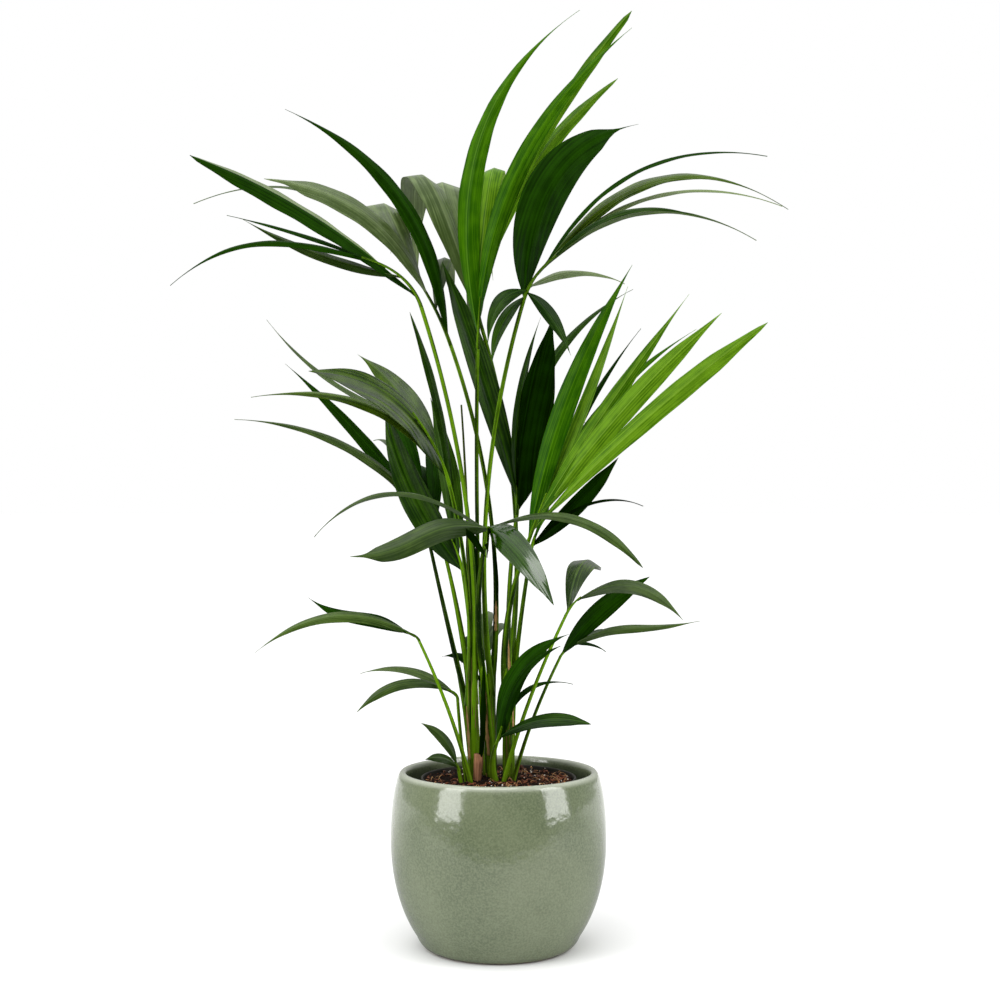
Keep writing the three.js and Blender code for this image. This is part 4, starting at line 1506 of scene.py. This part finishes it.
@dataclass
class FrondBuilder:
    """Builds a frond's petiole and blade.

    seat and sheath_seat are how far the petiole and its sheath start from the stem's middle, and
    gap is how far above its top. sunk is how far a rooted petiole starts in the mix. sheath_size
    is the sheath's half width and half depth low down, and overlap the length of petiole in it.
    """

    plan: Frond
    materials: Materials
    ground: PottingMix
    gap: float = 0.0003
    seat: float = 0.0066
    sheath_seat: float = 0.0038
    sheath_size: Pair = (0.0062, 0.0030)
    overlap: float = 0.070
    sunk: float = 0.002
    groove: float = 0.16
    rachis_end: Pair = (0.45, 0.4)

    def outward(self) -> Vector:
        """Finds the level direction that the petiole's back faces.

        Returns:
            The direction.
        """
        base, tip = self.plan.base, self.plan.tip
        if isinstance(base, Seat):
            return heading(base.bearing)
        return Vector((tip[0] - base.x, tip[1] - base.y, 0.0)).normalized()

    def across(self) -> Vector:
        """Finds the level direction of the petiole's width."""
        return UP.cross(self.outward())

    def foot(self) -> Vector:
        """Finds where the petiole starts.

        Returns:
            The place.
        """
        base = self.plan.base
        if isinstance(base, Seat):
            return Vector(STEMS[base.stem].top) + self.outward() * self.seat + UP * self.gap
        height = self.ground.height(math.hypot(base.x, base.y))
        return Vector((base.x, base.y, height - self.sunk))

    def petiole(self) -> Bend:
        """Draws the petiole's bend."""
        return bowed(self.foot(), Vector(self.plan.tip), Vector((*self.plan.bow, 0.0)))

    def rachis(self) -> Bend:
        """Draws the rachis, which goes on from the petiole's tip.

        Returns:
            The bend.
        """
        petiole = self.petiole()
        start, end = petiole.point(1.0), Vector(self.plan.rachis)
        return Bend(start, start + petiole.tangent(1.0) * ((end - start).length * 0.45), end)

    def sheath(self) -> Bend:
        """Draws the sheath under a seated petiole, which ends inside the petiole.

        Returns:
            The bend.
        """
        petiole = self.petiole()
        foot = STEMS[self.plan.base.stem].root(self.ground)
        return Bend(foot + self.outward() * self.sheath_seat, self.foot(),
                    petiole.point(self.overlap / petiole.length()))

    def stalk_section(self, curve: Bend) -> Section:
        """Works out the petiole's section: a clasping base that narrows to a grooved stalk.

        Args:
            curve: The petiole's bend.

        Returns:
            The section.
        """
        low, high = self.plan.radii
        length = curve.length()
        seated = isinstance(self.plan.base, Seat)
        reach, swell, slim = (0.22, 0.6, 1.0) if seated else (0.06, 0.1, 0.76)

        def section(t: float, angle: float) -> Pair:
            """Finds a wall point.

            Args:
                t: The share of the way along.
                angle: The angle round the section.

            Returns:
                The offsets across and out.
            """
            clasp = 1 - ease(0.0, reach, t * length)
            radius = mix(low * slim, high, t)
            groove = 1 - self.groove * max(0.0, -math.sin(angle)) ** 3
            return oval(radius * (1 + swell * clasp), radius * (1 + 0.1 * clasp) * groove, angle)

        return section

    def sheath_section(self, t: float, angle: float) -> Pair:
        """Finds a sheath's wall point: wide and flat low down, then slim.

        Args:
            t: The share of the way along.
            angle: The angle round the section.

        Returns:
            The offsets across and out.
        """
        radius = self.plan.radii[0]
        wide, deep = self.sheath_size
        rising, closing = ease(0.1, 0.6, t), ease(0.6, 1.0, t)
        width = mix(mix(wide, radius * 1.5, rising), radius * 0.85, closing)
        return oval(width, mix(deep, radius, rising) * mix(1.0, 0.8, closing), angle)

    def hold(self, height: float, bearing: float) -> Vector:
        """Finds a place on the outside of a seated petiole or its sheath.

        Args:
            height: The place's height.
            bearing: The side that it lies on.

        Returns:
            The place.
        """
        side = heading(bearing)
        petiole = self.petiole()
        places: list[Vector] = []
        for curve, section in ((self.sheath(), self.sheath_section),
                               (petiole, self.stalk_section(petiole))):
            if curve.start.z <= height <= curve.end.z:
                t = curve.share(height)
                ring = limb_ring(curve, t, self.across())
                wide, deep = section(t, 0.0)[0], section(t, math.pi / 2)[1]
                places.append(ring.centre + side / math.hypot(side.dot(ring.across) / wide,
                                                              side.dot(ring.face) / deep))
        return max(places, key=side.dot)

    def build(self) -> None:
        """Makes both pieces."""
        petiole, rachis = self.petiole(), self.rachis()
        stalk = Body(f"{self.plan.name}_petiole")
        stalk.limb(petiole, self.across(), self.stalk_section(petiole), sides=14, steps=40)
        stalk.finish([self.materials.petiole], "petiole", f"petiole_{self.plan.name}")

        thick = self.plan.radii[1]
        wide_end, deep_end = self.rachis_end
        blade = Body(f"{self.plan.name}_blade")
        slots = [self.materials.petiole]
        blade.limb(rachis, self.across(), lambda t, angle: oval(
            thick * mix(1.0, wide_end, t), thick * mix(1.0, deep_end, t), angle),
                   sides=12, steps=18)
        for leaf in self.plan.leaflets:
            Blade(leaf, rachis.point(leaf.at)).add_to(blade, slots, self.materials,
                                                      leaf.shade or self.plan.shade)
        blade.finish(slots, "leaf", f"frond_{self.plan.name}")


@dataclass
class StemBuilder:
    """Builds a stem as the bundle of clasping sheaths that its petioles grow from."""

    name: str
    plan: Stem
    materials: Materials
    ground: PottingMix
    fronds: Sequence[FrondBuilder]
    core: float = 0.0048
    short: float = 0.004

    def build(self) -> None:
        """Makes the stem's core, which ends short of its top, and its sheaths."""
        top = Vector(self.plan.top) - UP * self.short
        body = Body(f"{self.name}_stem")
        body.limb(bowed(self.plan.root(self.ground), top, Vector()), RIGHT,
                  lambda t, angle: oval(self.core, self.core, angle), sides=16, steps=12)
        for builder in self.fronds:
            body.limb(builder.sheath(), builder.across(), builder.sheath_section, sides=18,
                      steps=24)
        body.finish([self.materials.petiole], "stem_sheath", f"stem_{self.name}")


@dataclass
class Spear:
    """The unopened frond in the middle of a stem's top."""

    materials: Materials
    stem: str = "left"
    gap: float = 0.0003
    tip: Point = (-0.047, 0.008, 0.678)
    bow: Pair = (0.003, 0.002)
    radii: Pair = (0.0027, 0.0011)
    pleats: int = 5
    pleat: float = 0.10
    twist: float = 14.0

    def section(self, t: float, angle: float) -> Pair:
        """Finds a wall point, with pleats that wind round the spear."""
        pleat = 1 + self.pleat * math.cos(self.pleats * angle + self.twist * t)
        return oval(mix(*self.radii, t) * pleat, mix(*self.radii, t) * pleat, angle)

    def build(self) -> None:
        """Makes the closed, slightly twisted spear."""
        foot = Vector(STEMS[self.stem].top) + UP * self.gap
        curve = bowed(foot, Vector(self.tip), Vector((*self.bow, 0.0)))
        body = Body("closed_spear")
        body.limb(curve, RIGHT, self.section, sides=20, steps=48)
        body.finish([self.materials.spear], "petiole", "spear")


@dataclass
class Husk:
    """A dry, ribbed sheath stump at the foot of the left stem."""

    materials: Materials
    ground: PottingMix
    foot: Pair = (-0.027, -0.011)
    tip: Point = (-0.0245, -0.014, 0.241)
    radii: Pair = (0.0046, 0.0060)
    sunk: float = 0.002
    ribs: int = 9
    rib: float = 0.10

    def section(self, t: float, angle: float) -> Pair:
        """Finds a wall point, ribbed all round and torn at the top.

        Args:
            t: The share of the way along.
            angle: The angle round the section.

        Returns:
            The offsets across and out.
        """
        radius = mix(*self.radii, t) * (1 + self.rib * math.cos(self.ribs * angle))
        tear = ease(0.72, 1.0, t) * (0.45 + 0.45 * math.sin(angle + 0.6))
        return oval(radius * (1 - 0.3 * tear), radius * (1 - 0.9 * tear), angle)

    def build(self) -> None:
        """Makes the stump with its split, uneven top."""
        foot = Vector((*self.foot, self.ground.height(math.hypot(*self.foot)) - self.sunk))
        body = Body("dry_husk")
        body.limb(bowed(foot, Vector(self.tip), Vector()), RIGHT, self.section, sides=54,
                  steps=16)
        body.finish([self.materials.dry], "dry_sheath", "husk")


@dataclass
class YoungBlades:
    """Narrow blades, still half folded, that stand among the stems, in the green darkened as
    painted shade.
    """

    materials: Materials
    blades: tuple[tuple[Point, Leaflet], ...] = (
        ((-0.0240, -0.0140, 0.231), Leaflet(0, (-0.0185, -0.0180, 0.372), 0, 0.0125, 70,
                                            full=0.38, swell=0.6, fold=0.5)),
        ((-0.0398, 0.0075, 0.537), Leaflet(0, (-0.0300, 0.0000, 0.400), 0, 0.0150, 84, fold=0.5)),
        ((-0.0062, 0.0260, 0.500), Leaflet(0, (-0.0010, 0.0210, 0.408), 0, 0.0070, 84, fold=0.5)),
        ((-0.0451, -0.0860, 0.5291), Leaflet(0, (-0.0150, -0.0840, 0.4885), 0.002, 0.0095, 70,
                                             swell=0.6, fold=0.5)),
        ((-0.0122, -0.0925, 0.5245), Leaflet(0, (-0.0138, -0.0830, 0.4885), 0.001, 0.0075, 76,
                                             swell=0.6, fold=0.5)),
        ((-0.0225, 0.0112, 0.330), Leaflet(0, (-0.0290, 0.0090, 0.470), 0, 0.0080, 84, fold=0.5)),
    )

    def build(self) -> None:
        """Makes the blades as one piece."""
        body = Body("young_blades")
        slots: list[bpy.types.Material] = []
        for root, plan in self.blades:
            # The blades take the green darkened as painted shade.
            Blade(plan, Vector(root)).add_to(body, slots, self.materials, Shade.PAINTED_SHADE)
        body.finish(slots, "leaf")


@dataclass(frozen=True)
class Strip:
    """A dry strip on the outside of a frond's sheath or petiole.

    Attributes:
        frond: The frond that carries it.
        bearing: The side that it lies on.
        low: The height of its foot.
        high: The height of its loose end.
        half: Half its width.
    """

    frond: str
    bearing: float
    low: float
    high: float
    half: float


@dataclass
class PaperySheaths:
    """Dry, curled strips of old sheath that cling to the stems."""

    materials: Materials
    builders: dict[str, FrondBuilder]
    strips: tuple[Strip, ...] = (
        Strip("heart", 268, 0.300, 0.384, 0.0024),
        Strip("heart", 325, 0.262, 0.345, 0.0018),
        Strip("front", 246, 0.236, 0.302, 0.0022),
        Strip("middle_left", 240, 0.232, 0.300, 0.0018),
        Strip("high_left", 270, 0.392, 0.430, 0.0018),
        Strip("high_left", 62, 0.230, 0.318, 0.0024),
        Strip("back_left", 96, 0.230, 0.292, 0.0022),
    )
    peel: float = 0.0022
    thickness: float = 0.0002
    curl: float = 0.35

    def add(self, body: Body, strip: Strip) -> None:
        """Adds a strip.

        Args:
            body: The piece that it joins.
            strip: The strip's plan.
        """
        phase = random.uniform(0, math.tau)
        side = heading(strip.bearing)
        carrier = self.builders[strip.frond]

        def ring(t: float) -> Ring:
            """Places a section: on the carrier, and peeled off it near the end."""
            place = carrier.hold(mix(strip.low, strip.high, t), strip.bearing)
            return Ring(place + side * self.peel * ease(0.62, 1.0, t), UP.cross(side), side)

        def section(t: float, angle: float) -> Pair:
            """Finds a wall point of a thin curled strip with ragged edges.

            Args:
                t: The share of the way along.
                angle: The angle round the section.

            Returns:
                The offsets across and out.
            """
            ragged = 1 + 0.25 * math.sin(phase + 17 * t) + 0.15 * math.sin(41 * t)
            width = strip.half * ragged * (1 - 0.75 * ease(0.6, 1.0, t)) * ease(-0.3, 0.2, t)
            u = math.cos(angle)
            return width * u, self.curl * width * u * u + self.thickness * math.sin(angle)

        body.sweep(ring, section, strip.high - strip.low, sides=12, steps=22)

    def build(self) -> None:
        """Makes the strips as one piece."""
        body = Body("papery_sheaths")
        for strip in self.strips:
            self.add(body, strip)
        body.finish([self.materials.papery], "dry_sheath")


@dataclass
class DryFibres:
    """Thin brown threads left by old sheaths along the stems.

    feet and reach are the ranges of their lower ends' heights and of their lengths, and none goes
    over highest. spread and wind are how many degrees they lie off the frond's back, and how many
    they turn on their way.
    """

    materials: Materials
    builders: Sequence[FrondBuilder]
    count: int = 30
    feet: Pair = (0.222, 0.29)
    reach: Pair = (0.03, 0.11)
    highest: float = 0.40
    spread: float = 70.0
    wind: float = 30.0
    loose: float = 0.0035
    widths: Pair = (0.0003, 0.0007)
    thickness: float = 0.00025

    def add(self, body: Body, carrier: FrondBuilder) -> None:
        """Adds a thread.

        Args:
            body: The piece that it joins.
            carrier: The frond that it clings to.
        """
        outward = carrier.outward()
        bearing = math.degrees(math.atan2(outward.y, outward.x))
        bearing += random.uniform(-self.spread, self.spread)
        turn = random.uniform(-self.wind, self.wind)
        low = random.uniform(*self.feet)
        high = min(low + random.uniform(*self.reach), self.highest)
        loose = random.uniform(0.0, self.loose)
        width = random.uniform(*self.widths)

        def ring(t: float) -> Ring:
            """Places a section along the carrier, a little loose near the end.

            Args:
                t: The share of the way along.

            Returns:
                The ring.
            """
            side = heading(bearing + turn * t)
            place = carrier.hold(mix(low, high, t), bearing + turn * t)
            return Ring(place + side * loose * ease(0.5, 1.0, t), UP.cross(side), side)

        body.sweep(ring, lambda t, angle: oval(
            width * (1 - 0.8 * t), self.thickness * (1 - 0.8 * t), angle), high - low, sides=4,
                   steps=10)

    def build(self) -> None:
        """Makes the threads as one piece."""
        body = Body("dry_fibres")
        for index in range(self.count):
            self.add(body, self.builders[index % len(self.builders)])
        body.finish([self.materials.dry], "dry_sheath")


@dataclass
class Palm:
    """The whole clump."""

    materials: Materials
    ground: PottingMix

    def build(self) -> None:
        """Builds stems, fronds and the small dry pieces."""
        materials, ground = self.materials, self.ground
        builders = {frond.name: FrondBuilder(frond, materials, ground) for frond in FRONDS}
        seated = [builder for builder in builders.values()
                  if isinstance(builder.plan.base, Seat)]
        for name, stem in STEMS.items():
            own = [builder for builder in seated if builder.plan.base.stem == name]
            StemBuilder(name, stem, materials, ground, own).build()
        for piece in (*builders.values(), Spear(materials), Husk(materials, ground),
                      YoungBlades(materials), PaperySheaths(materials, builders),
                      DryFibres(materials, seated)):
            piece.build()


# ---------------------------------------------------------------- studio
@dataclass
class Softbox:
    """A rectangular lamp that looks at a point."""

    name: str
    place: Point
    target: Point
    size: Pair
    power: float

    def build(self) -> None:
        """Hangs the lamp."""
        data = bpy.data.lights.new(self.name, "AREA")
        data.shape = "RECTANGLE"
        data.size, data.size_y = self.size
        data.energy = self.power
        lamp = bpy.data.objects.new(self.name, data)
        bpy.context.scene.collection.objects.link(lamp)
        lamp.location = self.place
        aim = Vector(self.target) - Vector(self.place)
        lamp.rotation_euler = aim.to_track_quat("-Z", "Y").to_euler()


@dataclass
class Studio:
    """A white sweep under a bright ceiling, dim in front, with a tall soft light on each side.

    The floor ends a little in front of the pot. front, back and ceiling say how bright the room
    is in those directions, and the two ranges where one passes into the other. The angles of the
    overhead light are in degrees.
    """

    materials: Materials
    eye: Point = (0.0018, -2.05, 0.558)
    lens: float = 58.8
    sensor: float = 36.0
    floor_front: float = -0.75
    floor_back: float = 60.0
    floor_side: float = 60.0
    front: float = 0.03
    back: float = 0.5
    front_to_back: Pair = (-0.4, 0.8)
    ceiling: float = 1.15
    level_to_up: Pair = (0.2, 0.75)
    overhead_power: float = 1.2
    overhead_size: float = 50.0
    overhead_tilt: Pair = (12.0, -10.0)
    softboxes: tuple[Softbox, ...] = (
        Softbox("left_window", (-1.28, -0.96, 0.98), (0.0, 0.0, 0.98), (0.77, 1.6), 18.0),
        Softbox("right_window", (1.44, -0.70, 0.98), (0.0, 0.0, 0.98), (0.77, 1.6), 18.0),
    )

    def build(self) -> None:
        """Sets the camera, the floor, the lamps and the room's light."""
        self.set_camera()
        for softbox in self.softboxes:
            softbox.build()
        self.hang_overhead()
        self.lay_floor()
        self.light_room()
        bpy.context.scene.view_settings.view_transform = "Standard"

    def set_camera(self) -> None:
        """Sets the camera level, looking along +Y."""
        camera = bpy.data.cameras.new("camera")
        camera.lens, camera.sensor_width = self.lens, self.sensor
        viewer = bpy.data.objects.new("camera", camera)
        bpy.context.scene.collection.objects.link(viewer)
        viewer.location = self.eye
        viewer.rotation_euler = (math.pi / 2, 0.0, 0.0)
        bpy.context.scene.camera = viewer

    def hang_overhead(self) -> None:
        """Hangs the broad light from above."""
        sun = bpy.data.lights.new("overhead", "SUN")
        sun.energy, sun.angle = self.overhead_power, math.radians(self.overhead_size)
        lamp = bpy.data.objects.new("overhead", sun)
        lamp.rotation_euler = (*map(math.radians, self.overhead_tilt), 0.0)
        bpy.context.scene.collection.objects.link(lamp)

    def lay_floor(self) -> None:
        """Lays the white floor."""
        mesh = bmesh.new()
        bmesh.ops.create_grid(mesh, x_segments=1, y_segments=1, size=1.0)
        deep = (self.floor_back - self.floor_front) / 2
        bmesh.ops.transform(mesh, verts=mesh.verts, matrix=Matrix.Translation(
            (0.0, self.floor_front + deep, 0.0)) @ Matrix.Diagonal(
            (self.floor_side, deep, 1.0, 1.0)))
        data = bpy.data.meshes.new("floor")
        mesh.to_mesh(data)
        mesh.free()
        data.materials.append(self.materials.floor)
        floor = bpy.data.objects.new("floor", data)
        bpy.context.scene.collection.objects.link(floor)

    def light_room(self) -> None:
        """Lights the room: bright above, dim in front, and white where the camera sees it."""
        world = bpy.data.worlds.new("room")
        bpy.context.scene.world = world
        world.use_nodes = True
        world.node_tree.nodes.clear()
        graph = Graph(world.node_tree)
        way = graph.add("ShaderNodeTexCoord").outputs["Generated"]
        parts = graph.add("ShaderNodeSeparateXYZ", Vector=way).outputs
        round_about = graph.stretch(parts["Y"], *self.front_to_back, self.front, self.back)
        above = graph.stretch(parts["Z"], *self.level_to_up)
        level = graph.maths("MULTIPLY_ADD", above,
                            graph.maths("SUBTRACT", self.ceiling, round_about), round_about)
        seen = graph.add("ShaderNodeLightPath").outputs["Is Camera Ray"]
        light = graph.add("ShaderNodeBackground", Color=WHITE, Strength=level)
        white = graph.add("ShaderNodeBackground", Color=WHITE, Strength=1.0)
        mixed = graph.add("ShaderNodeMixShader")
        for socket, source in zip(mixed.inputs, (seen, light.outputs[0], white.outputs[0])):
            graph.feed(socket, source)
        graph.add("ShaderNodeOutputWorld", Surface=mixed.outputs[0])


def main() -> None:
    """Builds the part around its frame and writes how large it comes out."""
    logging.basicConfig(level=logging.INFO, format="%(name)s %(message)s")
    random.seed(SEED)
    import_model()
    materials = Materials()
    nursery = NurseryPot(materials)
    potting_mix = PottingMix(materials, nursery)
    GlazedPot(materials).build()
    nursery.build()
    potting_mix.build()
    Palm(materials, potting_mix).build()
    Studio(materials).build()


if __name__ == "__main__":
    main()
